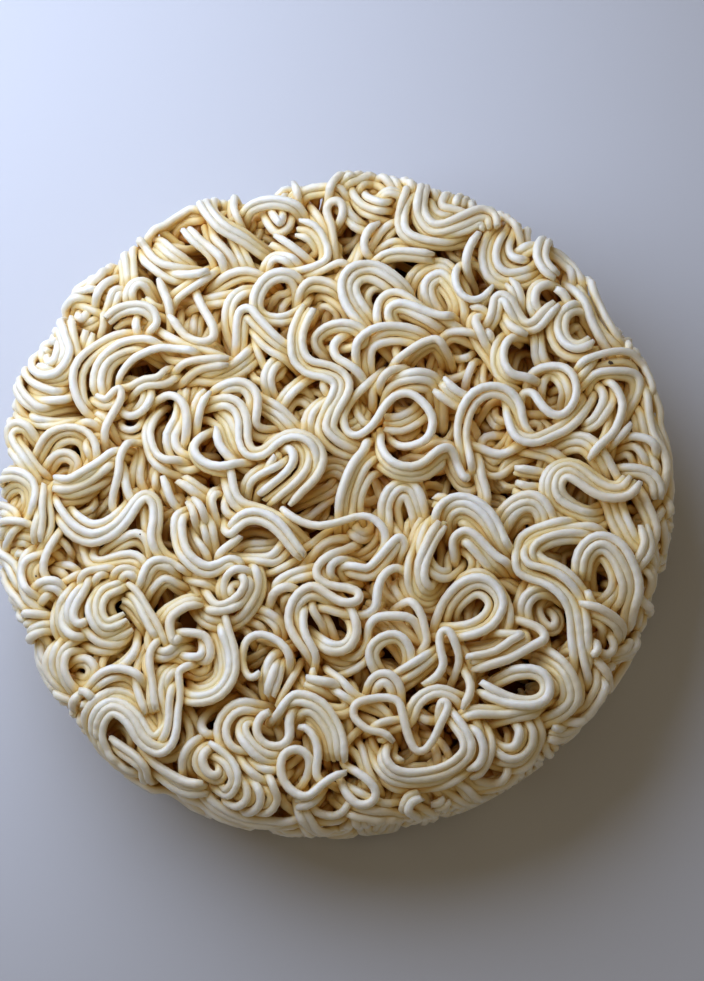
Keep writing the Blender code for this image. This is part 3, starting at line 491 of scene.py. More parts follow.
    underWaveLoop=(2, 20, [(241, 556, -20), (246, 548, -12), (260, 547, -10), (274, 546, -14),
        (284, 540, -20)]),
    underWaveLow=(2, 15, [(238, 562, -9), (256, 563, -3), (272, 560, 0), (282, 550, 1), (289, 540, -8)]),
    underWaveLast=(1, 0, [(249, 569, -8), (268, 571, -1), (284, 566, 0), (300, 559, -10)]),
    nestBowl=(4, 32, [(192, 590, -14), (203, 607, 2), (216, 617, 7), (232, 615, 9), (247, 602, 9),
        (255, 586, 8), (252, 573, 5), (244, 566, -6)]),
    nestCoil=(3, 25, [(252, 581, 0), (243, 573, 7), (231, 575, 7), (225, 585, 6), (226, 597, 2),
        (235, 606, -10)]),
    besideNest=(2, 20, [(188, 576, -6), (203, 582, 0), (216, 588, -1), (227, 594, -12)]),
    deepPosts=(3, 20, [(256, 571, -26), (265, 585, -20), (272, 600, -18), (281, 614, -20),
        (282, 630, -28)]),
    deepArcs=(2, 15, [(247, 612, -14), (260, 613, -8), (272, 619, -7), (280, 629, -8), (280, 642, -16)]),
    deepArcsInner=(2, 15, [(236, 622, -16), (249, 626, -12), (259, 634, -14), (263, 644, -22)]),
    ringAlone=(1, 0, [(262, 673, 8), (253, 679, 10), (244, 670, 11), (241, 655, 11), (246, 640, 12),
        (259, 634, 12), (273, 637, 12), (284, 646, 11), (290, 659, 9), (291, 671, -2)], "start"),
    ringShadow=(1, 0, [(270, 641, -6), (281, 649, 1), (287, 661, 1), (288, 673, -10)]),
    hairpinBelow=(2, 15, [(286, 649, -8), (275, 655, 3), (267, 667, 8), (265, 684, 4), (269, 700, -10)]),
    brightLeg=(2, 10, [(285, 657, -2), (278, 667, 8), (274, 682, 10), (271, 697, 9)], "end"),
    brightLegSecond=(1, 0, [(299, 668, -6), (291, 681, 5), (283, 695, 8), (278, 708, 8)], "end"),
    ovalOuter=(1, 0, [(348, 551, -6), (331, 556, 8), (318, 566, 10), (316, 578, 11), (328, 586, 11),
        (344, 588, 11), (357, 594, 11), (355, 603, 10), (342, 603, 10), (328, 595, 11), (312, 588, 11),
        (298, 596, 10), (290, 611, 9), (290, 628, 9), (299, 643, 9), (310, 655, 6), (316, 668, -6)]),
    ovalPartner=(2, 20, [(327, 598, 2), (313, 595, 3), (302, 602, 3), (296, 616, 3), (300, 633, 3),
        (308, 647, 0), (316, 658, -10)]),
    ovalInner=(2, 20, [(356, 567, -12), (343, 561, 3), (330, 564, 8), (327, 575, 7), (335, 583, 2),
        (347, 581, -10)]),
    curveWithin=(1, 0, [(317, 602, -10), (306, 609, 5), (302, 623, 8), (306, 639, 10), (313, 652, 9),
        (315, 666, -2)]),
    uCurve=(2, 20, [(336, 602, -6), (349, 613, 5), (354, 629, 8), (348, 644, 9), (336, 649, 9),
        (324, 645, 7), (312, 637, -8)]),
    postWithin=(2, 20, [(314, 600, -6), (317, 611, 0), (325, 622, -4), (330, 637, -14)]),
    knot=(2, 20, [(276, 606, -12), (279, 595, 1), (289, 591, 3), (299, 597, -8)]),
    slantUp=(2, 20, [(318, 570, -2), (304, 573, 5), (290, 577, 5), (280, 585, 4), (277, 598, -10)]),
    deepSweep=(3, 20, [(281, 581, -20), (297, 567, -12), (311, 555, -10), (325, 543, -10),
        (341, 538, -18)]),
    lowSweep=(3, 20, [(316, 650, -14), (331, 658, -9), (348, 661, -7), (364, 653, -12)]),
    standingStub=(1, 0, [(313, 667, 11), (314, 677, 9), (322, 687, 2), (333, 695, -10)], "start"),
    stubRow=(3, 40, [(306, 684, 8), (318, 688, 7), (331, 692, 2), (344, 698, -10)], "start"),
    uprightNest=(5, 45, [(217, 620, -8), (221, 638, 6), (227, 658, 8), (226, 676, 9), (215, 690, 9),
        (199, 694, 8), (185, 687, 0), (177, 674, -10)]),
    uprightInner=(3, 25, [(166, 660, -10), (182, 665, -3), (197, 669, 0), (208, 664, 1), (211, 650, 0),
        (209, 636, -8)]),
    uprightHeart=(2, 20, [(178, 640, -20), (189, 648, -16), (195, 659, -22)]),
    hookAcross=(1, 0, [(166, 646, 2), (177, 639, 8), (191, 636, 10), (202, 636, 10), (208, 646, 9),
        (206, 659, 7), (195, 661, 2), (181, 655, -6)]),
    brokenBand=(3, 38, [(203, 601, 6), (190, 601, 10), (178, 606, 11), (166, 615, 11), (158, 628, 10),
        (159, 642, 9), (168, 651, 7), (180, 648, 0)], "start"),
    largeC=(2, 20, [(262, 712, -6), (248, 707, 7), (233, 711, 10), (223, 725, 10), (224, 742, 10),
        (234, 754, 7), (248, 757, 2), (259, 750, -10)]),
    largeCLining=(2, 25, [(256, 716, -14), (242, 721, -4), (235, 733, -1), (239, 746, -4),
        (251, 751, -14)]),
    twistTip=(1, 0, [(271, 713, 10), (262, 717, 11), (256, 728, 12), (259, 740, 12), (270, 748, 11),
        (283, 748, 11), (291, 738, 10), (291, 724, 9), (294, 711, 9), (304, 703, 8),
        (316, 708, 2)], "start"),
    twistPair=(2, 25, [(256, 724, 2), (247, 722, 9), (243, 732, 11), (249, 745, 11), (260, 755, 11),
        (274, 759, 10), (286, 754, 2)]),
    twistUnder=(2, 20, [(243, 744, -4), (248, 761, 5), (260, 773, 7), (275, 776, 5), (288, 768, -8)]),
    twistHollow=(3, 15, [(264, 722, -20), (275, 728, -14), (281, 738, -16), (279, 748, -24)]),
    whiteDome=(5, 35, [(292, 718, 2), (302, 709, 10), (315, 713, 12), (326, 727, 12), (331, 744, 11),
        (333, 761, 6)], "end"),
    domeDrop=(1, 0, [(297, 728, 9), (307, 730, 10), (315, 742, 11), (317, 757, 10), (316, 771, 9),
        (321, 780, 8), (331, 783, 0)], "start"),
    domeHollow=(3, 20, [(301, 735, -16), (305, 748, -12), (310, 762, -14), (312, 776, -20)]),
    ringBelowDome=(1, 0, [(347, 773, 10), (333, 777, 11), (321, 786, 11), (309, 795, 10), (296, 792, 10),
        (285, 781, 11), (281, 767, 12), (286, 754, 12), (298, 751, 11), (308, 758, 10), (309, 771, 6),
        (303, 786, 0), (295, 797, -10)], "start"),
    ringFilling=(2, 20, [(288, 777, -16), (294, 769, -12), (299, 759, -16)]),
    bottomStub=(2, 20, [(296, 803, 7), (306, 801, 7), (316, 794, 4), (322, 783, -6)], "start"),
    coilOne=(2, 20, [(215, 745, -8), (203, 751, 5), (199, 764, 8), (208, 777, 9), (221, 777, 8),
        (222, 764, 4), (213, 755, -8)]),
    coilTwo=(2, 20, [(208, 748, 9), (220, 755, 10), (231, 765, 10), (237, 780, 9), (229, 791, 9),
        (220, 787, 0)], "start"),
    coilThree=(2, 15, [(233, 773, 6), (241, 783, 9), (246, 796, 9), (239, 802, 7), (232, 796, -4)]),
    coilFour=(2, 15, [(248, 779, 3), (256, 788, 9), (257, 801, 9), (248, 809, 8), (239, 805, -3)]),
    coilFive=(2, 20, [(258, 775, 2), (267, 786, 8), (274, 797, 8), (268, 808, 6), (256, 810, -4)]),
    coilBefore=(2, 20, [(188, 774, -4), (186, 760, 5), (193, 748, 6), (205, 741, -4)]),
    rimBand=(3, 30, [(150, 763, 0), (160, 773, 4), (174, 782, 5), (190, 787, 5), (206, 787, 5)], "end"),
    wallSweep=(3, 0, [(199, 791, -6), (217, 806, -4), (240, 816, -4), (266, 822, -4), (290, 822, -5),
        (310, 814, -10)]),
    wallNip=(2, 0, [(222, 810, -5), (225, 823, -3), (238, 827, -3), (250, 820, -8)]),
    wallLow=(2, 0, [(256, 824, -5), (272, 830, -3), (292, 834, -3), (310, 827, -8)]),
    deepHook=(2, 20, [(222, 701, -18), (205, 712, -12), (197, 727, -8), (203, 740, -5), (219, 743, -12)]),
    deepSlope=(2, 20, [(176, 702, -14), (187, 719, -10), (196, 735, -16)]),
    deepTurn=(2, 20, [(178, 716, -14), (187, 732, -8), (185, 745, -4), (173, 755, -2), (157, 757, 1),
        (144, 753, -6)]),
    underHole=(2, 20, [(301, 688, -4), (311, 702, 3), (327, 710, 5), (343, 711, 4), (351, 703, 3),
        (345, 693, -4)]),
    underHoleBow=(2, 20, [(325, 716, -10), (340, 718, -1), (348, 727, 0), (349, 741, -10)]),
    bottomCurve=(3, 15, [(302, 797, -14), (316, 813, -8), (338, 816, -7), (359, 803, -12)]),
    bottomBowl=(3, 0, [(304, 815, -7), (320, 831, -4), (340, 837, -4), (358, 829, -5), (367, 812, -10)]),
    crestLoop=(1, 0, [(394, 743, 10), (383, 732, 11), (367, 726, 12), (355, 716, 12), (356, 704, 12),
        (369, 699, 12), (387, 697, 13), (400, 702, 13), (405, 716, 12), (409, 733, 11), (415, 748, 11),
        (423, 751, 10), (433, 741, 10), (441, 727, 9), (449, 714, 9), (449, 703, 10), (441, 701, 10),
        (437, 711, 8), (438, 722, 0)], "start"),
    crestEnd=(1, 0, [(378, 740, 8), (385, 738, 5), (379, 730, 3), (366, 722, -6)], "start"),
    crossArch=(2, 15, [(382, 731, 2), (396, 725, 7), (410, 720, 8), (414, 707, 9), (423, 696, 10),
        (437, 691, 10), (451, 694, 8), (462, 702, 2), (467, 714, -10)]),
    crossTail=(1, 0, [(412, 712, -2), (425, 720, 4), (440, 720, 2), (452, 712, -8)]),
    greatBowl=(4, 38, [(377, 743, -6), (378, 761, 5), (389, 775, 9), (406, 781, 10), (427, 780, 10),
        (447, 775, 10), (464, 764, 10), (474, 750, 10), (474, 733, 9), (463, 720, 5), (452, 712, -8)]),
    bowlStub=(2, 20, [(382, 738, -6), (385, 754, 4), (394, 763, 7), (403, 766, 7)], "end"),
    bowlRight=(2, 20, [(468, 773, 6), (480, 767, 9), (487, 755, 9), (485, 740, 8), (477, 726, 3),
        (466, 717, -8)], "start"),
    bowlSlats=(4, 5, [(425, 735, -40), (423, 752, -40), (420, 772, -34)]),
    bowlArch=(2, 20, [(420, 737, -20), (434, 741, -12), (443, 754, -10), (446, 771, -14)]),
    lowerLoop=(1, 0, [(374, 729, -8), (354, 735, -1), (343, 749, 3), (343, 765, 5), (357, 773, 7),
        (370, 783, 7), (374, 796, 6), (362, 803, 3), (348, 793, -4), (340, 779, -12)]),
    lowerBrace=(2, 20, [(350, 741, -8), (360, 755, 0), (368, 770, 0), (372, 783, -8)]),
    wallStub=(2, 20, [(420, 792, 5), (410, 797, 5), (405, 806, 3), (414, 813, -5)], "start"),
    wallRunner=(3, 0, [(356, 803, -8), (378, 808, -5), (400, 812, -4), (420, 816, -4),
        (430, 820, -3)], "end"),
    wallNest=(4, 0, [(364, 810, -7), (368, 828, -4), (380, 836, -3), (397, 829, -3), (412, 819, -7)]),
    wallCrumbs=(2, 0, [(432, 806, -3), (439, 804, -3), (446, 797, -3)], "start", "end"),
    wallCup=(4, 0, [(450, 786, -7), (467, 799, -4), (490, 799, -4), (507, 788, -4), (516, 770, -7)]),
    wallCupUpper=(3, 0, [(460, 778, -7), (475, 787, -3), (495, 782, -3), (508, 768, -3), (513, 751, -7)]),
    ovalRight=(2, 25, [(482, 727, -6), (489, 745, 0), (503, 753, 3), (516, 748, 4), (522, 733, 3),
        (516, 721, -8)]),
    ovalRightPosts=(2, 15, [(487, 729, -16), (495, 741, -14), (505, 747, -18)]),
    ovalRightOuter=(3, 40, [(484, 749, -6), (498, 760, -1), (517, 759, 0), (531, 748, 1), (536, 733, 1),
        (532, 719, -6)]),
    longBand=(3, 35, [(466, 722, -2), (488, 717, 4), (510, 714, 5), (532, 709, 3), (553, 700, -7)]),
    ovalHoop=(2, 22, [(479, 686, 8), (495, 695, 10), (514, 702, 11), (533, 703, 11), (546, 694, 11),
        (546, 680, 11), (534, 672, 10), (517, 673, 8), (502, 680, -2)], "start"),
    postEnd=(1, 0, [(465, 668, 0), (471, 682, 8), (471, 697, 9), (466, 712, 8)], "end"),
    twinArch=(2, 15, [(368, 701, -6), (372, 686, 5), (382, 678, 8), (393, 684, 7), (397, 700, 2),
        (398, 716, -10)]),
    leftFeed=(2, 20, [(329, 683, 0), (342, 692, 7), (356, 701, 6), (372, 707, 3), (384, 716, 0),
        (389, 728, -10)]),
    concentric=(4, 40, [(546, 662, -4), (559, 671, 4), (567, 685, 5), (566, 698, 3), (556, 708, -1),
        (543, 713, -10)]),
    wallRightRing=(3, 0, [(551, 719, -7), (568, 715, -3), (582, 706, -2), (589, 692, -2), (590, 675, -7)]),
    wallFarRing=(2, 0, [(595, 679, -7), (600, 696, -3), (613, 694, -2), (624, 682, -2), (629, 667, -6)]),
    wallFarStub=(2, 0, [(595, 699, -5), (603, 708, -3), (611, 702, -3)], "end"),
    wallSlabs=(3, 0, [(547, 729, -2), (560, 731, -2), (575, 724, -2), (588, 714, -3),
        (595, 701, -7)], "start"),
    wallHook=(2, 0, [(562, 732, -6), (551, 736, -3), (548, 747, -3), (558, 755, -3)], "end"),
    wallTails=(2, 0, [(566, 748, -2), (573, 737, -2), (583, 726, -2), (593, 713, -6)], "start"),
    wallLowCurl=(2, 0, [(539, 750, -6), (545, 760, -3), (539, 770, -3), (521, 776, -6)]),
    wallLastStub=(2, 0, [(514, 778, -5), (525, 780, -3), (535, 776, -3)], "end"),
    basketArch=(2, 20, [(51, 499, -6), (58, 512, 9), (72, 531, 11), (92, 539, 12), (112, 532, 12),
        (127, 517, 12), (138, 502, 12), (148, 496, 12), (156, 505, 11), (157, 522, 10), (155, 540, 9),
        (163, 556, 7), (180, 566, 2), (196, 569, -8)]),
    archPartner=(2, 20, [(146, 507, 0), (148, 525, 4), (151, 542, 5), (160, 557, 3), (173, 568, -6)]),
    basketInner=(2, 20, [(62, 502, -4), (74, 516, 7), (90, 527, 8), (106, 526, 8), (120, 516, 6),
        (133, 502, -2)]),
    leftPost=(2, 15, [(41, 486, 10), (42, 500, 10), (40, 517, 10), (38, 530, 9),
        (39, 543, 6)], "start", "end"),
    leftPostSecond=(2, 20, [(50, 503, 2), (51, 518, 3), (49, 531, 1), (42, 543, -8)]),
    edgeLoops=(2, 20, [(44, 549, -4), (28, 559, 3), (22, 574, 4), (29, 591, 3), (41, 602, -6)]),
    edgeLoopsInner=(2, 20, [(45, 560, -6), (34, 566, 3), (32, 579, 3), (40, 590, -2), (50, 596, -10)]),
    midLoop=(1, 0, [(60, 531, 2), (50, 546, 8), (44, 565, 10), (48, 579, 9), (62, 585, 6), (78, 582, -6)]),
    midLoopInner=(2, 20, [(53, 565, -12), (66, 570, -4), (77, 580, -8)]),
    leftWall=(3, 0, [(4, 548, -8), (10, 565, -4), (18, 581, -4), (27, 596, -8)]),
    leftWallLow=(3, 0, [(6, 583, -7), (14, 597, -4), (25, 607, -7)]),
    leftPile=(3, 40, [(39, 600, -6), (47, 589, 6), (58, 590, 6), (67, 601, -4)]),
    sideStick=(2, 10, [(10, 615, 4), (25, 618, 3), (40, 619, 2), (56, 622, -8)], "start"),
    sideLoop=(2, 20, [(19, 624, 3), (22, 636, 3), (32, 635, 2), (42, 628, 1), (56, 627, -8)], "start"),
    shellA=(5, 42, [(84, 585, -2), (72, 595, 8), (64, 610, 10), (65, 626, 9), (75, 637, 6), (91, 638, -8)]),
    shellB=(5, 42, [(114, 583, 3), (100, 590, 9), (91, 604, 12), (92, 620, 12), (102, 632, 11),
        (117, 632, 10), (131, 625, 9)], "end"),
    shellHeart=(3, 42, [(120, 583, 0), (109, 592, 8), (105, 606, 5), (110, 620, 0), (120, 627, -12)]),
    lobeTop=(2, 25, [(114, 586, -2), (122, 576, 8), (131, 576, 8), (139, 586, -4)]),
    lobeLeft=(2, 20, [(85, 594, -4), (90, 582, 6), (101, 577, 7), (112, 576, 4), (121, 583, -8)]),
    whiteTwist=(4, 38, [(122, 594, 9), (132, 600, 12), (141, 613, 12), (149, 626, 11),
        (157, 641, 2)], "start"),
    upperLoops=(3, 35, [(140, 590, -4), (147, 576, 5), (158, 566, 8), (172, 567, 5), (185, 578, -8)]),
    upperLoopsLow=(2, 20, [(148, 597, -8), (158, 585, 0), (170, 578, 0), (183, 583, -10)]),
    midOval=(2, 25, [(88, 546, -16), (92, 561, 0), (104, 566, 4), (120, 560, 6), (134, 560, 6),
        (141, 570, 5), (136, 583, -8)]),
    archAbove=(2, 20, [(108, 554, -4), (121, 543, 5), (135, 538, 7), (147, 543, 6), (150, 556, 0),
        (144, 568, -10)]),
    behindBasket=(3, 10, [(72, 539, -26), (76, 555, -24), (82, 573, -26)]),
    behindBasketTwo=(2, 15, [(83, 543, -20), (88, 560, -16), (99, 572, -14), (113, 577, -20)]),
    lowC=(2, 20, [(63, 640, -4), (54, 651, 5), (50, 667, 6), (57, 681, 4), (71, 693, -4)]),
    lowCInner=(2, 20, [(84, 644, -2), (68, 649, 7), (62, 662, 9), (65, 678, 9), (75, 693, 5),
        (89, 706, -8)]),
    ringBelow=(2, 25, [(68, 670, -10), (76, 661, 0), (89, 663, 3), (94, 674, 3), (87, 682, 1),
        (76, 680, -9)]),
    crossBelow=(2, 20, [(83, 641, -6), (97, 648, 1), (112, 646, 1), (126, 637, -6)]),
    rightC=(2, 20, [(106, 648, -8), (99, 661, 0), (98, 676, 0), (104, 690, -10)]),
    ringTiny=(2, 15, [(106, 663, -20), (113, 652, -12), (124, 652, -11), (122, 663, -14), (111, 668, -22)]),
    slantRight=(2, 20, [(140, 635, -2), (134, 652, 7), (122, 665, 7), (107, 674, 4), (97, 685, -8)]),
    vertPair=(3, 25, [(156, 640, 0), (147, 656, 8), (145, 675, 9), (149, 697, 9), (153, 713, 8)], "end"),
    bendRight=(1, 0, [(131, 664, 6), (138, 672, 4), (144, 685, 0), (148, 698, -10)], "start"),
    trunkShell=(5, 40, [(180, 664, -6), (168, 674, 7), (164, 692, 10), (167, 710, 11), (167, 727, 11),
        (159, 739, 11), (148, 732, 11), (138, 716, 11), (125, 705, 12), (110, 702, 12), (98, 711, 12),
        (93, 727, 11), (98, 743, 9), (110, 757, 5), (127, 766, -2)]),
    shellRoof=(3, 35, [(86, 706, 0), (94, 690, 6), (106, 680, 8), (120, 677, 8), (134, 682, 7),
        (145, 696, 3), (153, 712, -8)]),
    fingerRight=(1, 0, [(177, 681, 4), (173, 692, 13), (171, 707, 15), (170, 722, 15), (166, 736, 14),
        (158, 743, 10), (148, 738, 4)]),
    shellTip=(2, 22, [(108, 741, 10), (119, 749, 10), (133, 757, 10), (146, 766, 8),
        (147, 776, 0)], "start"),
    shellHollow=(3, 20, [(110, 730, -20), (121, 724, -12), (134, 731, -10), (140, 745, -12),
        (136, 759, -18)]),
    wallLong=(4, 0, [(126, 768, -7), (148, 784, -4), (168, 797, -4), (190, 809, -8)]),
    edgeFold=(3, 10, [(53, 684, -7), (64, 699, -1), (77, 709, -1), (90, 718, -8)]),
    smallKnob=(2, 20, [(83, 697, 6), (90, 699, 6), (98, 706, -6)], "start"),
    cornerWall=(3, 0, [(38, 643, -7), (40, 660, -3), (50, 675, -3), (62, 688, -7)]),
    knobRim=(4, 45, [(46, 343, -4), (31, 354, 6), (21, 370, 9), (19, 388, 8), (26, 406, 6), (43, 416, 3),
        (64, 413, -6)]),
    knobCoil=(3, 42, [(62, 338, 0), (67, 351, 10), (60, 366, 13), (46, 370, 13), (38, 360, 12),
        (44, 350, 10), (55, 352, 0)]),
    knobMiddle=(3, 35, [(33, 351, 0), (34, 366, 9), (42, 377, 11), (56, 379, 11), (70, 372, 8),
        (77, 357, -4)]),
    knobLow=(3, 35, [(27, 380, 0), (34, 392, 7), (48, 398, 8), (62, 396, 6), (75, 385, -4)]),
    knobFoot=(3, 30, [(20, 414, -4), (34, 424, 3), (52, 428, 4), (71, 428, 1), (89, 423, -8)]),
    knobEdge=(1, 0, [(10, 390, 2), (14, 402, 0), (22, 412, -7)], "start"),
    leftEar=(3, 40, [(37, 479, -2), (26, 461, 6), (15, 446, 9), (13, 434, 9), (23, 430, 6), (33, 441, -4)]),
    archA=(2, 18, [(99, 415, -8), (85, 406, 4), (77, 389, 9), (79, 369, 10), (92, 353, 10), (112, 341, 10),
        (134, 338, 8), (152, 345, -4)]),
    archB=(1, 0, [(101, 402, -2), (92, 389, 8), (93, 370, 10), (104, 355, 11), (122, 345, 11),
        (144, 343, 11), (163, 350, 6), (178, 361, -6)]),
    archC=(2, 20, [(108, 401, -4), (104, 385, 6), (108, 367, 8), (121, 355, 9), (139, 350, 8),
        (156, 355, -2)]),
    archD=(1, 0, [(121, 391, 0), (122, 375, 10), (133, 360, 12), (151, 350, 13), (172, 348, 13),
        (190, 352, 12), (206, 361, 2)]),
    zigLeft=(1, 0, [(96, 398, 8), (107, 402, 10), (116, 393, 11), (123, 389, 12), (121, 401, 12),
        (113, 415, 11), (107, 430, 11), (107, 446, 0)], "start"),
    zigUnder=(2, 20, [(100, 409, -6), (113, 411, 0), (124, 404, -2), (130, 394, -10)]),
    zigKnob=(2, 20, [(95, 417, 6), (103, 421, 5), (110, 430, 0), (114, 442, -10)], "start"),
    brightJoin=(2, 20, [(126, 397, -2), (135, 388, 8), (146, 382, 10), (160, 381, 9), (174, 374, 2)]),
    joinRing=(2, 20, [(135, 383, -4), (146, 388, 5), (148, 399, 6), (140, 410, 5), (128, 414, 1),
        (121, 403, -10)]),
    joinCrescent=(2, 20, [(115, 416, -10), (119, 430, 0), (131, 436, 2), (143, 431, 0), (151, 419, -10)]),
    joinDeep=(3, 15, [(128, 421, -26), (139, 424, -24), (150, 412, -28)]),
    bowlOutside=(2, 20, [(153, 418, -4), (148, 437, 5), (153, 454, 7), (166, 465, 6), (185, 470, -2)]),
    leftNestOuter=(3, 35, [(43, 457, -4), (52, 441, 6), (66, 434, 9), (82, 436, 9), (92, 448, 6),
        (92, 465, 1), (84, 481, -10)]),
    nestUpper=(2, 25, [(71, 435, -4), (85, 426, 5), (97, 429, 4), (105, 441, -8)]),
    leftNestInner=(2, 25, [(49, 468, -10), (58, 457, 0), (69, 456, 2), (76, 464, 0), (71, 479, -12)]),
    stepStrand=(2, 20, [(97, 471, -8), (92, 456, 7), (90, 444, 10), (97, 437, 10), (105, 446, -4)]),
    thickRope=(4, 42, [(54, 487, 9), (68, 488, 11), (82, 482, 11), (95, 474, 11), (108, 466, 9),
        (122, 464, -2)], "start"),
    ropeUnder=(2, 20, [(54, 496, 3), (68, 497, 3), (82, 495, 0), (93, 489, -10)], "start"),
    ropeBehind=(3, 25, [(100, 482, -8), (110, 474, 0), (122, 473, -2), (131, 480, -14)]),
    tallLeft=(1, 0, [(140, 447, -4), (129, 446, 9), (121, 458, 12), (121, 472, 12), (117, 486, 12),
        (113, 500, 10), (116, 511, 6), (127, 516, -6)]),
    tallRight=(1, 0, [(124, 469, 5), (124, 484, 10), (129, 496, 10), (136, 503, 5), (144, 508, -8)]),
    tallBehind=(3, 20, [(137, 449, -14), (134, 466, -8), (133, 482, -8), (137, 496, -16)]),
    deepColumns=(3, 15, [(143, 454, -18), (148, 470, -12), (150, 485, -14), (146, 498, -22)]),
    deepBelowRope=(3, 15, [(86, 503, -26), (98, 500, -22), (108, 492, -24), (116, 480, -30)]),
    slantStick=(1, 0, [(163, 475, 10), (168, 488, 10), (173, 500, 8), (181, 512, -2)], "start"),
    slantBeside=(2, 20, [(172, 476, -8), (168, 463, -2), (157, 470, -4), (155, 484, -12)]),
    edgeRings=(4, 42, [(2, 493, -8), (11, 482, 2), (23, 482, 5), (31, 493, 5), (30, 508, 4),
        (22, 521, -4)]),
    edgeRingsRim=(2, 0, [(0, 482, -6), (12, 476, -2), (25, 477, -1), (37, 485, -8)]),
    edgeTurn=(2, 15, [(1, 508, -6), (12, 514, 1), (17, 523, 2), (11, 532, -4)]),
    paleSweep=(4, 30, [(3, 541, -8), (20, 532, -1), (36, 536, -1), (52, 548, -9)]),
    horn=(2, 10, [(79, 298, -6), (80, 282, 0), (85, 270, 1), (93, 274, 0), (99, 288, -6)]),
    leftBow=(3, 30, [(60, 344, -4), (51, 332, 5), (51, 317, 6), (62, 305, 6), (79, 298, 6), (98, 296, -2)]),
    bowBar=(2, 15, [(69, 320, 6), (71, 335, 8), (73, 350, 4)], "start"),
    bowStick=(1, 0, [(103, 312, 9), (103, 325, 8), (97, 342, -4)], "start"),
    bowTip=(2, 15, [(90, 332, 6), (85, 346, 5), (79, 361, -6)], "start"),
    stubBand=(3, 38, [(111, 323, 8), (120, 315, 10), (133, 312, 11), (146, 314, 10), (153, 323, 7),
        (148, 331, 0)], "start"),
    dropBeside=(1, 0, [(141, 306, 4), (135, 320, 12), (137, 335, 9), (146, 348, -4)]),
    ringUpper=(2, 28, [(153, 297, -4), (146, 285, 5), (136, 284, 7), (130, 294, 7), (132, 308, 0)]),
    ringTongue=(2, 20, [(145, 299, 9), (153, 309, 7), (166, 314, -4)], "start"),
    edgeA=(3, 15, [(152, 238, -7), (139, 246, -1), (131, 260, 0), (128, 277, 0), (129, 293, -6)]),
    edgeB=(3, 15, [(102, 292, -6), (108, 276, -1), (118, 265, -1), (131, 263, -6)]),
    edgeC=(3, 10, [(194, 211, -6), (178, 213, -2), (165, 222, -2), (151, 236, -6)]),
    innerSweep=(2, 20, [(142, 250, 1), (150, 261, 5), (163, 271, 5), (180, 276, 2), (197, 275, -8)]),
    innerFan=(3, 25, [(149, 245, -6), (164, 250, 0), (177, 261, -1), (188, 272, -9)]),
    stickDown=(1, 0, [(158, 279, 10), (163, 292, 10), (169, 308, 9), (168, 328, 6),
        (163, 345, -6)], "start"),
    slopePair=(2, 20, [(129, 301, -6), (120, 293, 4), (114, 304, 4), (108, 320, -8)]),
    slopeLeft=(2, 20, [(98, 302, -6), (105, 287, 2), (115, 273, 1), (124, 266, -6)]),
    yellowFill=(4, 20, [(76, 308, -10), (90, 301, -6), (106, 306, -10)]),
    yellowDeep=(3, 15, [(78, 322, -14), (90, 326, -11), (100, 317, -16)]),
    shadeBrown=(3, 20, [(113, 336, -20), (126, 330, -16), (143, 334, -18), (158, 344, -24)]),
)

# Degrees by which these bundles turn along their way
bundleTwists = {
    "whiteHook": 30,
    "twistedTuft": 30,
    "thickWave": -15,
    "nestMiddle": -20,
    "whiteTwist": 30,
    "thickRope": 20,
}

traced = {
    "gap": 1.12,  # between the middles of neighbouring strands
    "dive": 4.2,  # how far a whole strand's ends go down out of sight
    "leastDive": 1.0,
    "diveReach": 3.0,  # how far on they go meanwhile
    "diveShares": (0.15, 1, 6),  # from where to where on that way, and how many points
    "relief": 1.6,  # heights over the surface grow by this, so that the relief is as deep as the photo's
    "drift": 0.2,  # strands of a bundle stray this far sideways, and up and down
    "driftUp": 0.32,
    "driftSpan": 5.5,
    "driftUpSpan": 7.5,
}


def layTraced():
    strands, bundles = [], []
    for number, (name, (strandCount, roll, path, *broken)) in enumerate(tracedBundles.items()):
        scaled = [(x, y, height / 10 * traced["relief"]) for x, y, height in path]
        line = smoothLine(placeOnBlock(scaled), noodle["step"])
        if "start" not in broken:
            line = diveAtEnd(line[::-1])[::-1]
        if "end" not in broken:
            line = diveAtEnd(line)
        ahead = np.gradient(line, axis=0)
        ahead /= np.linalg.norm(ahead, axis=1)[:, None]
        _, out, _ = nearestOnPan(line)
        sideways = np.cross(out, ahead)
        sideways /= np.maximum(np.linalg.norm(sideways, axis=1), 1e-6)[:, None]
        lift = np.cross(ahead, sideways)
        twist = bundleTwists.get(name, 0)
        angle = np.radians(roll + twist * np.linspace(0, 1, len(line)))[:, None]
        across = np.cos(angle) * sideways + np.sin(angle) * lift
        along = np.arange(len(line)) * noodle["step"]
        for index in range(strandCount):
            phase = number * 1.7 + index * 2.3  # no two strands drift alike
            drift = traced["drift"] * np.sin(along / traced["driftSpan"] + phase)
            shift = (index - (strandCount - 1) / 2) * traced["gap"] + drift
            rise = traced["driftUp"] * np.sin(along / traced["driftUpSpan"] + phase * 1.6)
            rise = rise * min(strandCount - 1, 1)  # a single strand keeps its height
            strand = line + across * shift[:, None] + out * rise[:, None]
            strands.append(smoothLine(strand, noodle["step"]))
            bundles.append(number)
    return strands, bundles


def quarterOf(strand):
    # the quarter of the top that a strand lies in
    x, y, _ = strand.mean(0)
    return f"top{'Back' if y > 0 else 'Front'}{'Right' if x > 0 else 'Left'}"


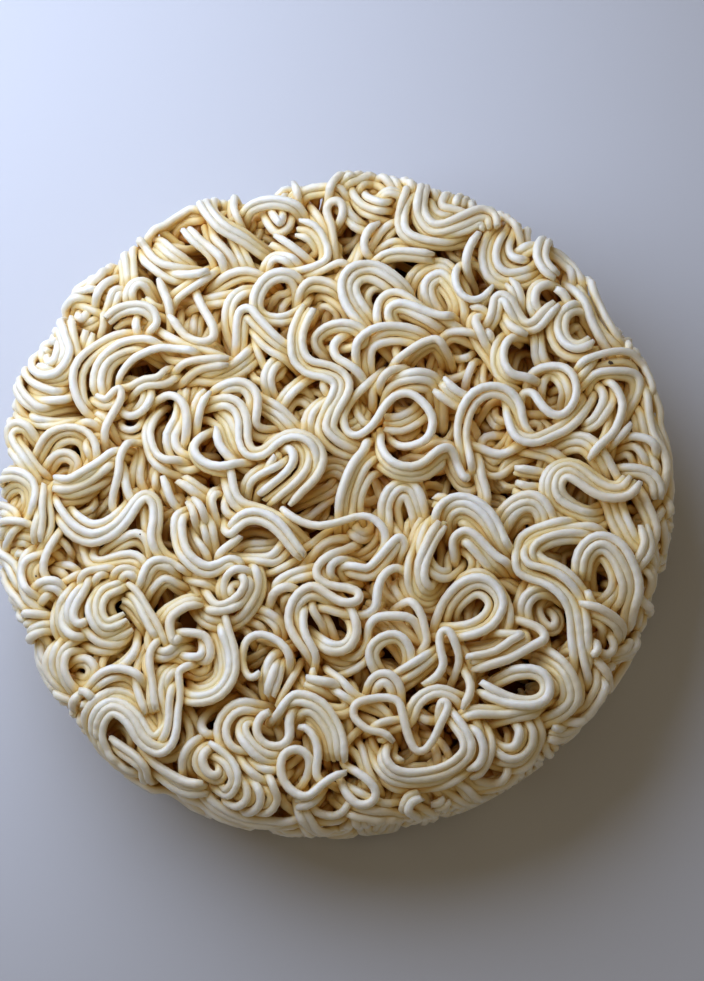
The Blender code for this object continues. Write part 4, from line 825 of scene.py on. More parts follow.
def diveAtEnd(line):
    # carry a line on in its own direction, down into the heap
    ahead = line[-1] - line[-3]
    ahead /= np.linalg.norm(ahead)
    _, out, inside = nearestOnPan(line[-1:])
    depth = max(traced["dive"] + float(inside[0]), traced["leastDive"])
    shares = np.linspace(*traced["diveShares"])[:, None]
    onward = ahead * traced["diveReach"] * np.sin(shares * math.pi / 2)
    tail = line[-1] + onward - out * depth * (1 - np.cos(shares * math.pi / 2))
    return smoothLine(np.concatenate([line, tail]), noodle["step"])


# Bundles of waved strands, laid over each other from the inside out
layout = {
    "seed": 11,
    "noodleLength": (90.0, 150.0),
    "waveLength": (19.0, 31.0),  # length of noodle in one full wave
    "waveTurn": (1.55, 2.15),  # furthest heading off the bundle's own line, in radians
    "coilRadius": (2.9, 4.4),
    "coilAdvance": (3.0, 6.5),
    "axisTurn": 0.035,  # how fast a bundle's line bends, in radians a millimetre
    "strandGap": 1.25,
    "endDive": 4.5,  # strands go this much deeper at their ends
    "endLength": 12.0,
    "mostTilt": 1.3,
    "tiltSway": 0.6,
    "tiltSpan": 9,
    "stepAside": (0.3, 1.1),  # radians from sideways to onward in which a bundle's strands are set off
    "stray": 0.35,
    "straySpan": 17,
    "lead": 2,  # a bundle starts this far along its line
    "walk": 120,  # length of that line
    "rings": 60,  # steps down the surface between which a start is picked
    "tries": 8,
    "cell": 2.0,
}

# How uneven the waves and coils are
unevenness = {
    "slowdown": (0.6, 1.6),
    "phase": 0.5,
    "phaseSpan": 21.0,
    "swing": 0.12,
    "swingSpan": 33.0,
    "levelSpan": 15,  # waves keep to the bundle's line over this far to each side
    "coil": 0.15,
    "coilSpan": 5,
    "coilLift": 0.34,
}
fullTurn = 6.28

# Metres of noodle, strands in a bundle, depth, tilt of the waves off the surface, the part of the outline
# that they follow, with the top's middle at 0 and the foot's at 1, and the share of bundles that are coils
layers = {
    "shoulderLoose": (3.0, (2, 4), 0.6, 0.5, (0.36, 0.44), 0.3),
    "topUnder": (7.5, (2, 5), 2.9, 0.6, (0.0, 0.42), 0.3),
    "topDeep": (4.0, (2, 5), 6.0, 0.4, (0.0, 0.40), 0.3),
    "wallPressed": (7.0, (2, 4), 0.65, 0.2, (0.43, 0.60), 0.06),
    "wallUnder": (3.0, (2, 4), 3.4, 0.5, (0.42, 0.60), 0.3),
    "footPressed": (7.0, (2, 4), 0.65, 0.12, (0.62, 1.0), 0.06),
    "footUnder": (2.0, (2, 4), 2.8, 0.4, (0.64, 1.0), 0.3),
}


def walkOutline(share):
    # the outline's point at this share of its length
    left = share * outlineLengths.sum()
    for start, run, length in zip(outline, outlineRuns, outlineLengths):
        if left <= length:
            return start + run * left / length
        left -= length
    return outline[-1]


def pickStarts(draw, count, fromShare, toShare):
    # spots on the surface between two rings of the outline
    shares = np.linspace(fromShare, toShare, layout["rings"])
    radii = [walkOutline(share)[0] for share in shares]
    starts = []
    for share in draw.choices(shares, radii, k=count):
        radius, height = walkOutline(share)
        angle = draw.uniform(0, 2 * math.pi)
        starts.append((radius * math.cos(angle), radius * math.sin(angle), height))
    return np.array(starts)


def walkAxes(draw, starts, steps, towards=None):
    # lines that wander over the pan's surface in millimetre steps: places, ways out, ways ahead
    place, out, _ = nearestOnPan(starts)
    if towards is None:
        way = np.array([[draw.gauss(0, 1) for _ in range(3)] for _ in starts])
    else:
        way = towards - place
    ahead = way - out * (way * out).sum(1)[:, None]
    ahead /= np.linalg.norm(ahead, axis=1)[:, None]
    bend = np.array([draw.gauss(0, layout["axisTurn"]) for _ in starts])
    track = [[], [], []]
    for _ in range(steps):
        place, out, _ = nearestOnPan(place + ahead)
        ahead = ahead - out * (ahead * out).sum(1)[:, None]
        ahead /= np.linalg.norm(ahead, axis=1)[:, None]
        side = np.cross(out, ahead)
        ahead = ahead * np.cos(bend)[:, None] + side * np.sin(bend)[:, None]
        for kept, value in zip(track, (place, out, ahead)):
            kept.append(value.copy())
    return [np.array(kept) for kept in track]


def waveShape(draw, length):
    # a meander: (along, across, up) at every step of its noodle
    count = int(length / noodle["step"])
    wave = draw.uniform(*layout["waveLength"])
    turn = draw.uniform(*layout["waveTurn"])
    slowdown = draw.uniform(*unevenness["slowdown"])
    t = np.arange(count) * noodle["step"]
    phase = 2 * math.pi * t / wave + draw.uniform(0, fullTurn)
    uneven = np.sin(t / unevenness["phaseSpan"] * slowdown + draw.uniform(0, fullTurn))
    phase = phase + unevenness["phase"] * uneven
    uneven = np.sin(t / unevenness["swingSpan"] + draw.uniform(0, fullTurn))
    swing = turn * (1 + unevenness["swing"] * uneven)
    heading = swing * np.sin(phase)
    along = np.cumsum(np.cos(heading)) * noodle["step"]
    across = np.cumsum(np.sin(heading)) * noodle["step"]
    span = unevenness["levelSpan"]
    width = 2 * span + 1
    across -= np.convolve(np.pad(across, span, "edge"), np.ones(width) / width, "valid")
    return np.stack([along, across, np.zeros(count)], axis=1)


def coilShape(draw, length):
    # a row of loops, each laid on the one before
    radius = draw.uniform(*layout["coilRadius"])
    advance = draw.uniform(*layout["coilAdvance"])
    count = int(length / noodle["step"])
    phase = np.arange(count) * noodle["step"] / radius
    uneven = np.sin(phase / unevenness["coilSpan"] + draw.uniform(0, fullTurn))
    radius = radius * (1 + unevenness["coil"] * uneven)
    along = advance * phase / (2 * math.pi) + radius * np.sin(phase)
    across = radius * np.cos(phase)
    return np.stack([along, across, unevenness["coilLift"] * radius * np.sin(phase)], axis=1)


def layBundles(name, present):
    # one layer of bundles, each the best of a few tries at covering what is still bare
    wantedMetres, strandCounts, depth, tilt, part, coilShare = layers[name]
    draw = random.Random(f"{layout['seed']} {name}")
    tries = layout["tries"]
    taken = set()
    for strand in present:
        taken.update(cellsOf(strand))
    strands, bundles, metres = [], [], 0.0
    while metres < wantedMetres:
        starts = pickStarts(draw, tries, *part)
        places, outs, aheads = walkAxes(draw, starts, layout["walk"])
        best, bestScore = None, -1.0
        for index in range(tries):
            axis = places[:, index], outs[:, index], aheads[:, index]
            length = draw.uniform(*layout["noodleLength"])
            bundle = layBundle(draw, axis, length, strandCounts, depth, tilt, coilShare)
            cells = set().union(*(cellsOf(strand) for strand in bundle))
            score = len(cells - taken) / len(cells)
            if score > bestScore:
                best, bestScore, bestCells = bundle, score, cells
        taken |= bestCells
        bundles += [bundles[-1] + 1 if bundles else 0] * len(best)
        strands += best
        metres += metresOf(best)
    return strands, bundles


def cellsOf(strand):
    # the coarse cells of space that a strand runs through
    return set(map(tuple, np.floor(strand / layout["cell"]).astype(int)))


def layBundle(draw, axis, length, strandCounts, depth, tiltSpread, coilShare):
    # strands side by side in waves or coils along an axis, at this depth under the surface
    places, outs, aheads = axis
    isCoil = draw.random() < coilShare
    shape = (coilShape if isCoil else waveShape)(draw, length)
    tilt = max(-layout["mostTilt"], min(layout["mostTilt"], draw.gauss(0, tiltSpread)))
    lean = draw.uniform(*layout["stepAside"]) * draw.choice((-1, 1))
    count = draw.randint(*strandCounts)
    shape[:, 0] -= shape[:, 0].min()
    sway = np.sin(shape[:, 0] / layout["tiltSpan"] + draw.uniform(0, fullTurn))
    tilts = tilt + layout["tiltSway"] * tiltSpread * sway
    across = shape[:, 1] * np.cos(tilts) - shape[:, 2] * np.sin(tilts)
    up = shape[:, 1] * np.sin(tilts) + shape[:, 2] * np.cos(tilts)
    reach = np.percentile(np.abs(up), 90)
    gap = layout["strandGap"]
    end = np.minimum(np.arange(len(shape)), np.arange(len(shape))[::-1]) / layout["endLength"]
    dive = layout["endDive"] * np.clip(1 - end, 0, 1) ** 2
    depth = depth + reach + (count - 1) * gap / 2 * abs(math.cos(lean)) * np.cos(tilts)
    bundle = []
    for strand in range(count):
        shift = (strand - (count - 1) / 2) * gap
        along = shape[:, 0] + shift * math.sin(lean)
        flow = layout["stray"] * np.sin(shape[:, 0] / layout["straySpan"] + strand)
        side = across - shift * math.cos(lean) * np.sin(tilts) + flow
        rise = up + shift * math.cos(lean) * np.cos(tilts)
        spot = np.clip(along + layout["lead"], 0, len(places) - 1.001)
        cell = spot.astype(int)
        part = (spot - cell)[:, None]
        place = places[cell] * (1 - part) + places[cell + 1] * part
        out = outs[cell] * (1 - part) + outs[cell + 1] * part
        sideways = np.cross(out, aheads[cell])
        bundle.append(place + sideways * side[:, None] + out * (rise - depth - dive)[:, None])
    return bundle


def contactPairs(points, reach):
    # every two points nearer than reach, found through a grid of cells
    cells = np.floor((points - points.min(0)) / reach).astype(np.int64) + 1
    size = cells.max(0) + 2
    keys = (cells[:, 0] * size[1] + cells[:, 1]) * size[2] + cells[:, 2]
    order = np.argsort(keys, kind="stable")
    ranked = keys[order]
    first, second = [], []
    offsets = [(x, y, z) for x in (-1, 0, 1) for y in (-1, 0, 1) for z in (-1, 0, 1)]
    for x, y, z in offsets[13:]:
        wanted = ranked + (x * size[1] + y) * size[2] + z
        begin = np.searchsorted(ranked, wanted, "left")
        if (x, y, z) == (0, 0, 0):
            begin = np.arange(len(ranked)) + 1
        end = np.searchsorted(ranked, wanted, "right")
        counts = np.maximum(end - begin, 0)
        total = counts.sum()
        if not total:
            continue
        rows = np.repeat(np.arange(len(ranked)), counts)
        within = np.arange(total) - np.repeat(np.cumsum(counts) - counts, counts)
        first.append(order[rows])
        second.append(order[np.repeat(begin, counts) + within])
    first, second = np.concatenate(first), np.concatenate(second)
    near = ((points[first] - points[second]) ** 2).sum(1) < reach * reach
    return first[near], second[near]


# How the heap settles until no strand runs through another
settling = {
    "rounds": 110,
    "pairRounds": 4,  # rounds between two searches for contacts
    "reach": 2.35,
    "gap": 1.3,
    "fusedGap": 1.08,  # strands of one bundle are stuck together
    "sideways": 0.3,  # share of a sideways push that traced bundles take, so that they stack up instead
    "smoothing": 5,  # passes that spread each push along its strand
    "push": 0.85,
    "stride": 1.6,
    "skip": 4,  # a strand's own points this near along it aren't contacts
    "tracedMoves": 0.25,  # a strand traced from the photograph gives way this much, beside 1 for the others
    "topSlack": 2.6,  # loops may stand this far over the mean top
    "looseFrom": 0.15,  # how far upwards the surface looks where the strands start to lie loose
    "looseSpan": 0.7,
    "hollow": 1.6,  # the wall has small hollows this deep, where strands didn't reach the pan
    "hollowWaves": ((9, 4, 0), (14, -3, 2)),  # waves around, millimetres up that turn them, and their start
    "hollowFrom": 0.15,
    "footRim": 1,  # no hollows under this height
    "dentHeight": 16,  # the dents are whole from this height on
    # degrees around the block, degrees wide, and how deep the rim falls back there
    "dents": (
        (57, 8, 1.2),
        (84, 9, 3.2),
        (112, 6, 2.8),
        (132, 5, 3.6),
        (156, 5, 6.0),
        (186, 6, 4.4),
        (203, 6, 2.6),
        (262, 8, 2.0),
    ),
}


def settle(strands, bundles, mobility, rounds):
    # push strands apart, a little in each round, and keep them in the pan
    points = np.concatenate(strands)
    bundle = np.repeat(bundles, [len(strand) for strand in strands])
    owner = np.repeat(np.arange(len(strands)), [len(strand) for strand in strands])
    weight = np.repeat(mobility, [len(strand) for strand in strands])
    rows = np.arange(len(points))
    before = np.where(np.roll(owner, 1) == owner, rows - 1, rows)
    after = np.where(np.roll(owner, -1) == owner, rows + 1, rows)
    before[0], after[-1] = 0, len(points) - 1
    for turn in range(rounds):
        if turn % settling["pairRounds"] == 0:
            first, second = contactPairs(points, settling["reach"])
            apart = (owner[first] != owner[second]) | (np.abs(first - second) > settling["skip"])
            first, second = first[apart], second[apart]
            wanted = np.where(bundle[first] == bundle[second], settling["fusedGap"], settling["gap"])
        gap = points[second] - points[first]
        distance = np.linalg.norm(gap, axis=1)
        deep = distance < wanted
        a, b = first[deep], second[deep]
        way = gap[deep] / np.maximum(distance[deep], 1e-3)[:, None]
        depth = wanted[deep] - distance[deep]
        total = np.maximum(weight[a] + weight[b], 1e-6)
        pushA = -way * (depth * weight[a] / total)[:, None]
        pushB = way * (depth * weight[b] / total)[:, None]
        move = np.empty_like(points)
        touches = np.bincount(a, minlength=len(points)) + np.bincount(b, minlength=len(points))
        for axis in range(3):
            move[:, axis] = np.bincount(a, pushA[:, axis], len(points))
            move[:, axis] += np.bincount(b, pushB[:, axis], len(points))
        move *= settling["push"] / np.sqrt(np.maximum(touches, 1))[:, None]
        for _ in range(settling["smoothing"]):
            move = 0.5 * move + 0.25 * (move[before] + move[after])
        if turn % settling["pairRounds"] == 0:
            _, out, _ = nearestOnPan(points)
        upward = out * (move * out).sum(1)[:, None]
        held = (weight < 1)[:, None]
        move = np.where(held, upward + settling["sideways"] * (move - upward), move)
        points += settling["stride"] * move
        points = keepInPan(points)
    print(f"      overlap left: {np.percentile(depth, 95):.3f} mm at {len(depth)} contacts")
    return np.split(points, np.cumsum([len(strand) for strand in strands])[:-1])


def looseness(out):
    # from 0 where the pan pressed the strands to 1 on the open top
    return np.clip((out[:, 2] - settling["looseFrom"]) / settling["looseSpan"], 0, 1)


def keepInPan(points):
    # back inside the pan's wall, with its hollows and the rim's dents, and not too high over the top
    place, out, inside = nearestOnPan(points)
    loose = looseness(out)
    around = np.arctan2(place[:, 1], place[:, 0])
    wave, crossWave = (
        np.sin(count * around + place[:, 2] / rise + start) for count, rise, start in settling["hollowWaves"]
    )
    hollow = np.maximum(wave * crossWave - settling["hollowFrom"], 0)
    hollow = settling["hollow"] * hollow * (place[:, 2] > settling["footRim"]) * (1 - np.abs(out[:, 2]))
    rim = np.clip(place[:, 2] / settling["dentHeight"], 0, 1) * (1 - out[:, 2] ** 2)
    for angle, width, depth in settling["dents"]:
        off = (np.degrees(around) - angle + 180) % 360 - 180
        hollow += depth * np.exp(-((off / width) ** 2)) * rim
    pressed = noodle["pressedFlat"] - noodle["diameter"] / 2
    limit = pressed + (settling["topSlack"] - pressed) * loose - hollow
    over = np.maximum(inside - limit, 0)
    points = points - out * over[:, None]
    half = blockHalf - noodle["diameter"] / 2
    points[:, :2] = np.clip(points[:, :2], -half, half)
    return points


def metresOf(some):
    return sum(len(strand) for strand in some) * noodle["step"] / 1000


strands, bundles = layTraced()
groups = [quarterOf(strand) for strand in strands]
for name in layers:
    laid, ties = layBundles(name, strands)
    bundles += [tie + bundles[-1] + 1 for tie in ties]
    strands += laid
    groups += [name] * len(laid)
say(f"laid {len(strands)} strands, {metresOf(strands):.1f} m of noodle")
mobility = np.array([1.0 if group in layers else settling["tracedMoves"] for group in groups])
strands = settle(strands, bundles, mobility, settling["rounds"])
say("settled")

# How thickly the heap lies over each spot, for finding gaps and for painted shade: strands below are painted
# warmer and darker, as light reaches them only through those over them
shelter = {
    "cell": 0.7,
    "margin": 4.0,
    "headroom": 6,
    "step": 0.35,
    "blurs": 3,
    "reaches": (1.1, 2.1, 3.3, 4.8, 6.6),
    "strength": 0.34,  # how fast the painted shade deepens and warms with the noodle that lies over a spot
    "most": 0.85,
}


def heapDensity():
    # share of noodle in small cells of space
    low = np.array([blockLow.x, blockLow.y, 0.0]) / mm - shelter["margin"]
    high = np.array([blockHigh.x, blockHigh.y, blockHigh.z]) / mm + shelter["margin"] + shelter["headroom"]
    size = np.ceil((high - low) / shelter["cell"]).astype(int)
    points = np.concatenate([smoothLine(strand, shelter["step"]) for strand in strands])
    cells = np.floor((points - low) / shelter["cell"]).astype(int)
    rows = np.ravel_multi_index(np.clip(cells, 0, size - 1).T, size)
    density = np.bincount(rows, minlength=size.prod()).reshape(size).astype(float)
    density *= shelter["step"] * math.pi * (noodle["diameter"] / 2) ** 2 / shelter["cell"] ** 3
    for _ in range(shelter["blurs"]):
        for axis in range(3):
            density = 0.5 * density + 0.25 * (np.roll(density, 1, axis) + np.roll(density, -1, axis))
    return low, density


def coverOver(places, out):
    # millimetres of noodle between each place and the open
    low, density = heap
    cover, last = np.zeros(len(places)), 0.0
    for reach in shelter["reaches"]:
        cells = (places + out * reach - low) / shelter["cell"] - 0.5
        cells = np.clip(cells, 0, np.array(density.shape) - 1.001)
        corner = cells.astype(int)
        part = cells - corner
        found = np.zeros(len(places))
        for x, y, z in np.ndindex(2, 2, 2):
            share = np.abs(1 - x - part[:, 0]) * np.abs(1 - y - part[:, 1]) * np.abs(1 - z - part[:, 2])
            found += share * density[corner[:, 0] + x, corner[:, 1] + y, corner[:, 2] + z]
        cover += found * (reach - last)
        last = reach
    return cover


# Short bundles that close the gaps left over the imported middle
filling = {
    "seed": 5,
    "samples": 6000,
    "zones": ((0.0, 0.45, 110), (0.45, 1.0, 95)),  # parts of the way from top to foot, and bundles there
    "under": 3.2,  # a gap is a spot with little noodle above this depth
    "enough": 1.1,  # millimetres of noodle that hide what lies below
    "spread": 4.0,  # one bundle closes the gap this far round
    "stray": 7,  # it starts up to this far off, and runs over the gap
    "walk": 60,
    "length": (24.0, 40.0),
    "strands": (2, 3),
    "depth": 2.1,
    "tilt": 0.35,
    "coilShare": 0.3,
    "rounds": 45,
    "othersMove": 0.3,  # how much the strands laid before give way
    "tracedMoves": 0.1,
}


def findGaps():
    # the barest spots of the surface, barest first and well apart
    draw = random.Random(filling["seed"])
    chosen = []
    for fromShare, toShare, count in filling["zones"]:
        place, out, _ = nearestOnPan(pickStarts(draw, filling["samples"], fromShare, toShare))
        cover = coverOver(place - out * filling["under"], out)
        wanted = len(chosen) + count
        for row in np.argsort(cover):
            if cover[row] > filling["enough"] or len(chosen) == wanted:
                break
            if all(np.linalg.norm(place[row] - other) > filling["spread"] for other in chosen):
                chosen.append(place[row])
        print("      gaps closed:", len(chosen))
    return np.array(chosen)


def fillGaps():
    draw = random.Random(filling["seed"] + 1)
    gaps = findGaps()
    stray = filling["stray"]
    starts = gaps + np.array([[draw.uniform(-stray, stray) for _ in range(3)] for _ in gaps])
    places, outs, aheads = walkAxes(draw, starts, filling["walk"], gaps)
    make = [filling[key] for key in ("strands", "depth", "tilt", "coilShare")]
    strands, bundles = [], []
    for index in range(len(gaps)):
        axis = places[:, index], outs[:, index], aheads[:, index]
        bundle = layBundle(draw, axis, draw.uniform(*filling["length"]), *make)
        strands += bundle
        bundles += [index] * len(bundle)
    return strands, bundles


heap = heapDensity()
laid, ties = fillGaps()
bundles += [tie + bundles[-1] + 1 for tie in ties]
strands += laid
groups += ["gapFilling"] * len(laid)
moves = {"gapFilling": 1.0, **dict.fromkeys(layers, filling["othersMove"])}
mobility = np.array([moves.get(group, filling["tracedMoves"]) for group in groups])
strands = settle(strands, bundles, mobility, filling["rounds"])
heap = heapDensity()
say(f"closed the gaps, {metresOf(strands):.1f} m of noodle")


def addObject(name, data):
    thing = bpy.data.objects.new(name, data)
    bpy.context.collection.objects.link(thing)
    return thing


def meshFrom(shape, name, smooth=True):
    mesh = bpy.data.meshes.new(name)
    shape.to_mesh(mesh)
    shape.free()
    for face in mesh.polygons:
        face.use_smooth = smooth
    return mesh


def setValues(mesh, name, values):
    # a number for each corner of the mesh, for its material to read
    mesh.attributes.new(name, "FLOAT", "POINT").data.foreach_set("value", values)


# Tubes round the settled lines
tube = {
    "turn": 0.3,  # radians that a strand bends from ring to ring
    "longestStep": 1.5,
    "fineStep": 0.3,
    "evenOver": 5,
    "resolution": 2,  # eight sides
    "pressedTurn": 0.53,
    "underTurn": 0.62,
    "underResolution": 1,
    "swell": 0.075,  # a noodle is this much thicker and thinner along its length
    "swells": ((0.6, 4.3, 1), (0.4, 1.7, 2)),  # share of each swelling, its span, and its own start
    "thickness": (0.92, 1.08),
    "wobble": 0.25,  # how far a strand strays from a smooth line, and over what length
    "wobbleSpan": 4.5,
    "endThickness": (0.5, 0.82),  # a strand tears off, and its end is thinner
    "slant": 0.4,  # and slanting, and ragged
    "ragged": 0.12,
    "raggedWay": (7.1, 5.3, 6.2),
    "endRadius": 0.62,  # of the diameter: only corners this near to the middle of the end are moved
}


def placeRings(line, turn):
    # points along a strand, closer together where it bends
    fine = smoothLine(line, tube["fineStep"])
    runs = np.diff(fine, axis=0)
    lengths = np.linalg.norm(runs, axis=1)
    ways = runs / np.maximum(lengths, 1e-9)[:, None]
    bends = np.arccos(np.clip((ways[1:] * ways[:-1]).sum(1), -1, 1))
    even = np.ones(tube["evenOver"]) / tube["evenOver"]
    bends = np.convolve(np.pad(bends, (1, 0), "edge"), even, "same")
    cost = np.concatenate([[0], np.cumsum(np.maximum(bends / turn, lengths / tube["longestStep"]))])
    wanted = np.linspace(0, cost[-1], max(int(math.ceil(cost[-1])), 3) + 1)
    return np.stack([np.interp(wanted, cost, fine[:, axis]) for axis in range(3)], axis=1)


def snapOff(draw, places, rings, sides):
    # how far the corners of each strand's two ends move along it, so that it ends in an uneven break
    moves = np.zeros_like(places)
    first = 2 * sides * len(rings)
    for index, count in enumerate(rings):
        cap = 2 * sides * (len(rings) - 1 - index)
        last = first + (count - 1) * sides
        for ring, inner in ((first, first + sides), (last, last - sides)):
            middlePoint = places[ring : ring + sides].mean(0)
            ahead = middlePoint - places[inner : inner + sides].mean(0)
            ahead /= max(np.linalg.norm(ahead), 1e-6)
            slant = np.array([draw.uniform(-tube["slant"], tube["slant"]) for _ in range(3)])
            for rows in (slice(ring, ring + sides), slice(cap, cap + 2 * sides)):
                off = places[rows] - middlePoint
                here = np.linalg.norm(off, axis=1) < noodle["diameter"] * tube["endRadius"]
                ragged = np.sin(off @ np.array(tube["raggedWay"])) * tube["ragged"]
                move = ahead * (off @ slant + ragged)[:, None]
                moves[rows] = np.where(here[:, None], move, moves[rows])
        first += count * sides
    return moves


def makeNoodles(name, lines, turn, resolution):
    # one mesh of all these strands, pressed flat where they meet the pan
    draw = random.Random(name)
    curve = bpy.data.curves.new(name, "CURVE")
    curve.dimensions = "3D"
    curve.bevel_depth = noodle["diameter"] / 2 * mm
    curve.bevel_resolution = resolution
    curve.use_fill_caps = True
    rings = []
    for line in lines:
        points = placeRings(line, turn)
        span = tube["wobbleSpan"]
        points += [noise.noise_vector(Vector(point) / span) * tube["wobble"] for point in points]
        spline = curve.splines.new("POLY")
        spline.points.add(len(points) - 1)
        spline.points.foreach_set("co", np.column_stack([points * mm, np.ones(len(points))]).ravel())
        along = np.concatenate([[0], np.cumsum(np.linalg.norm(np.diff(points, axis=0), axis=1))])
        phase = draw.uniform(0, fullTurn)
        swells = [share * np.sin(along / span + times * phase) for share, span, times in tube["swells"]]
        radius = 1 + tube["swell"] * sum(swells)
        radius[[0, -1]] *= draw.uniform(*tube["endThickness"]), draw.uniform(*tube["endThickness"])
        spline.points.foreach_set("radius", radius * draw.uniform(*tube["thickness"]))
        rings.append(len(points))
    holder = addObject(name + "_line", curve)
    depsgraph = bpy.context.evaluated_depsgraph_get()
    mesh = bpy.data.meshes.new_from_object(holder.evaluated_get(depsgraph))
    bpy.data.objects.remove(holder)
    bpy.data.curves.remove(curve)
    sides = 4 + 2 * resolution
    places = np.empty(len(mesh.vertices) * 3)
    mesh.vertices.foreach_get("co", places)
    places = places.reshape(-1, 3) / mm
    places += snapOff(draw, places, rings, sides)
    _, out, inside = nearestOnPan(places)
    over = np.maximum(inside - (settling["topSlack"] + noodle["diameter"]) * looseness(out), 0)
    places -= out * over[:, None]
    half = blockHalf - margin
    places[:, :2] = np.clip(places[:, :2], -half, half)
    places[:, 2] = np.clip(places[:, 2], 0, blockHeight)
    mesh.vertices.foreach_set("co", (places * mm).ravel())
    mesh.update()
    shades = [draw.random() for _ in rings]
    # all end caps come first, with the last strand's at the front
    counts = [2 * sides] * len(rings) + [count * sides for count in rings]
    setValues(mesh, "strandTone", np.repeat(shades[::-1] + shades, counts))
    # painted shade: each corner's noodle cover, which the material turns into a warmer, darker colour
    setValues(mesh, "coverOver", np.minimum(coverOver(places, out) * shelter["strength"], shelter["most"]))
    shape = bmesh.new()
    shape.from_mesh(mesh)
    bpy.data.meshes.remove(mesh)
    bmesh.ops.remove_doubles(shape, verts=shape.verts, dist=1e-7)
    bmesh.ops.recalc_face_normals(shape, faces=shape.faces)
    print(f"      {name}: {sum(len(face.verts) - 2 for face in shape.faces)} triangles")
    return addObject(name, meshFrom(shape, name))


# The imported middle, painted in the deepest shade so that it shows only as warm depth through the gaps
middle = {
    "inset": 7.5,
    "grains": ((9, 1.0), (23, 0.7)),  # grains to its radius, and their height
    # the whole middle is painted in the deepest shade
    "cover": 1.0,
}


def makeMiddle():
    # a round lump that follows the pan at this inset
    shape = bmesh.new()
    bmesh.ops.create_icosphere(shape, subdivisions=4, radius=1)
    places = np.array([corner.co for corner in shape.verts])
    centre = np.array([0.0, 0.0, pan["topHeight"] / 2])
    low, high = np.zeros(len(places)), np.full(len(places), 80.0)
    for _ in range(18):  # halve the way to the surface
        reach = (low + high) / 2
        _, _, inside = nearestOnPan(centre + places * reach[:, None])
        low = np.where(inside < -middle["inset"], reach, low)
        high = np.where(inside < -middle["inset"], high, reach)
    for corner, reach in zip(shape.verts, low):
        grain = sum(noise.noise(corner.co * fineness) * size for fineness, size in middle["grains"])
        corner.co = Vector(centre) * mm + corner.co * (reach + grain) * mm
    mesh = meshFrom(shape, "packed_middle")
    # painted shade: the whole middle takes the darkest, warmest colour of the ramp
    setValues(mesh, "coverOver", np.full(len(mesh.vertices), middle["cover"]))
    return addObject("packed_middle", mesh)


# Specks: image x and y, long and short half width in millimetres, and turn in degrees
flecks = {
    "brownChip": (613.5, 363.0, 0.45, 0.27, -15),
    "dotLeft": (139.5, 532.0, 0.16, 0.13, 0),
    "dotEdge": (22.0, 441.0, 0.2, 0.15, 30),
    "dotLower": (38.0, 578.0, 0.2, 0.14, -40),
}
fleckShape = {
    "search": 3.0,  # pixels round the speck in which its strand lies
    "sunk": 0.49,  # of the noodle's diameter
    "halfThick": 0.1,
    "uneven": 0.3,
    "fineness": 1.7,
}


def makeFlecks():
    # each lies on the strand that the photographed speck lies on
    right, up, ahead, eye = (np.array(axis) for axis in viewAxes())
    points = np.concatenate([smoothLine(strand, 0.25) for strand in strands])
    rays = points - eye
    depth = rays @ ahead
    focus = view["distance"] * view["pixelsPerMm"]
    across = view["imageWidth"] / 2 + rays @ right / depth * focus
    down = view["imageHeight"] / 2 - rays @ up / depth * focus
    shape = bmesh.new()
    for x, y, halfLong, halfWide, turn in flecks.values():
        near = np.hypot(across - x, down - y) < fleckShape["search"]
        row = np.flatnonzero(near)[depth[near].argmin()]
        toEye = -rays[row] / np.linalg.norm(rays[row])
        place = (points[row] + toEye * noodle["diameter"] * fleckShape["sunk"]) * mm
        long = Vector(right) * math.cos(math.radians(turn)) + Vector(up) * math.sin(math.radians(turn))
        wide = Vector(toEye).cross(long)
        thick = Vector(toEye) * fleckShape["halfThick"]
        stretch = Matrix((long * halfLong, wide * halfWide, thick)).transposed() * mm
        made = bmesh.ops.create_icosphere(shape, subdivisions=2, radius=1)["verts"]
        for corner in made:
            bump = noise.noise(corner.co * fleckShape["fineness"] + Vector((x, y, 0)))
            corner.co *= 1 + fleckShape["uneven"] * bump
            corner.co = stretch @ corner.co + Vector(place)
    return addObject("bran_flecks", meshFrom(shape, "bran_flecks", smooth=False))


def linear(hexColour):
    # an sRGB hex colour as the linear colour that a shader takes
    parts = [int(hexColour[i : i + 2], 16) / 255 for i in (1, 3, 5)]
    return [c / 12.92 if c <= 0.04045 else ((c + 0.055) / 1.055) ** 2.4 for c in parts] + [1.0]


def addNode(material, kind, settings=None, links=None):
    # one node, with its settings, its socket values, the stops of its ramp and its links
    node = material.node_tree.nodes.new(kind)
    for key, value in (settings or {}).items():
        if key == "stops":
            first, *between, last = value
            for element, (position, colour) in zip(node.color_ramp.elements, (first, last)):
                element.position, element.color = position, linear(colour)
            for position, colour in between:
                node.color_ramp.elements.new(position).color = linear(colour)
        elif isinstance(key, str) and hasattr(node, key):
            setattr(node, key, value)
        else:
            node.inputs[key].default_value = value
    for key, socket in (links or {}).items():
        material.node_tree.links.new(socket, node.inputs[key])
    return node


def newMaterial(name):
    material = bpy.data.materials.new(name)
    material.use_nodes = True
    material.node_tree.nodes.clear()
    return material


# The skin's colours, from its darker to its palest patches, and the painted shade, warmer and darker, that
# deepens with the noodle over each spot
noodleSkin = {
    "patches": ((0.30, "#F1E6C9"), (0.95, "#FAF4E3")),
    "paintedShade": (
        (0.02, "#FFFFFF"),
        (0.1, "#FBEAB8"),
        (0.3, "#F2D486"),
        (0.6, "#E1B15C"),
        (0.85, "#CC9042"),
        (1.0, "#8A5420"),
    ),
    "patchScale": 110.0,  # patches 9 mm wide
    "dentScale": 620.0,  # dents 1.6 mm wide, where strands lay against each other
    "grainScale": 1900.0,  # the fried skin's blisters, drawn half a millimetre wide so that they show
}


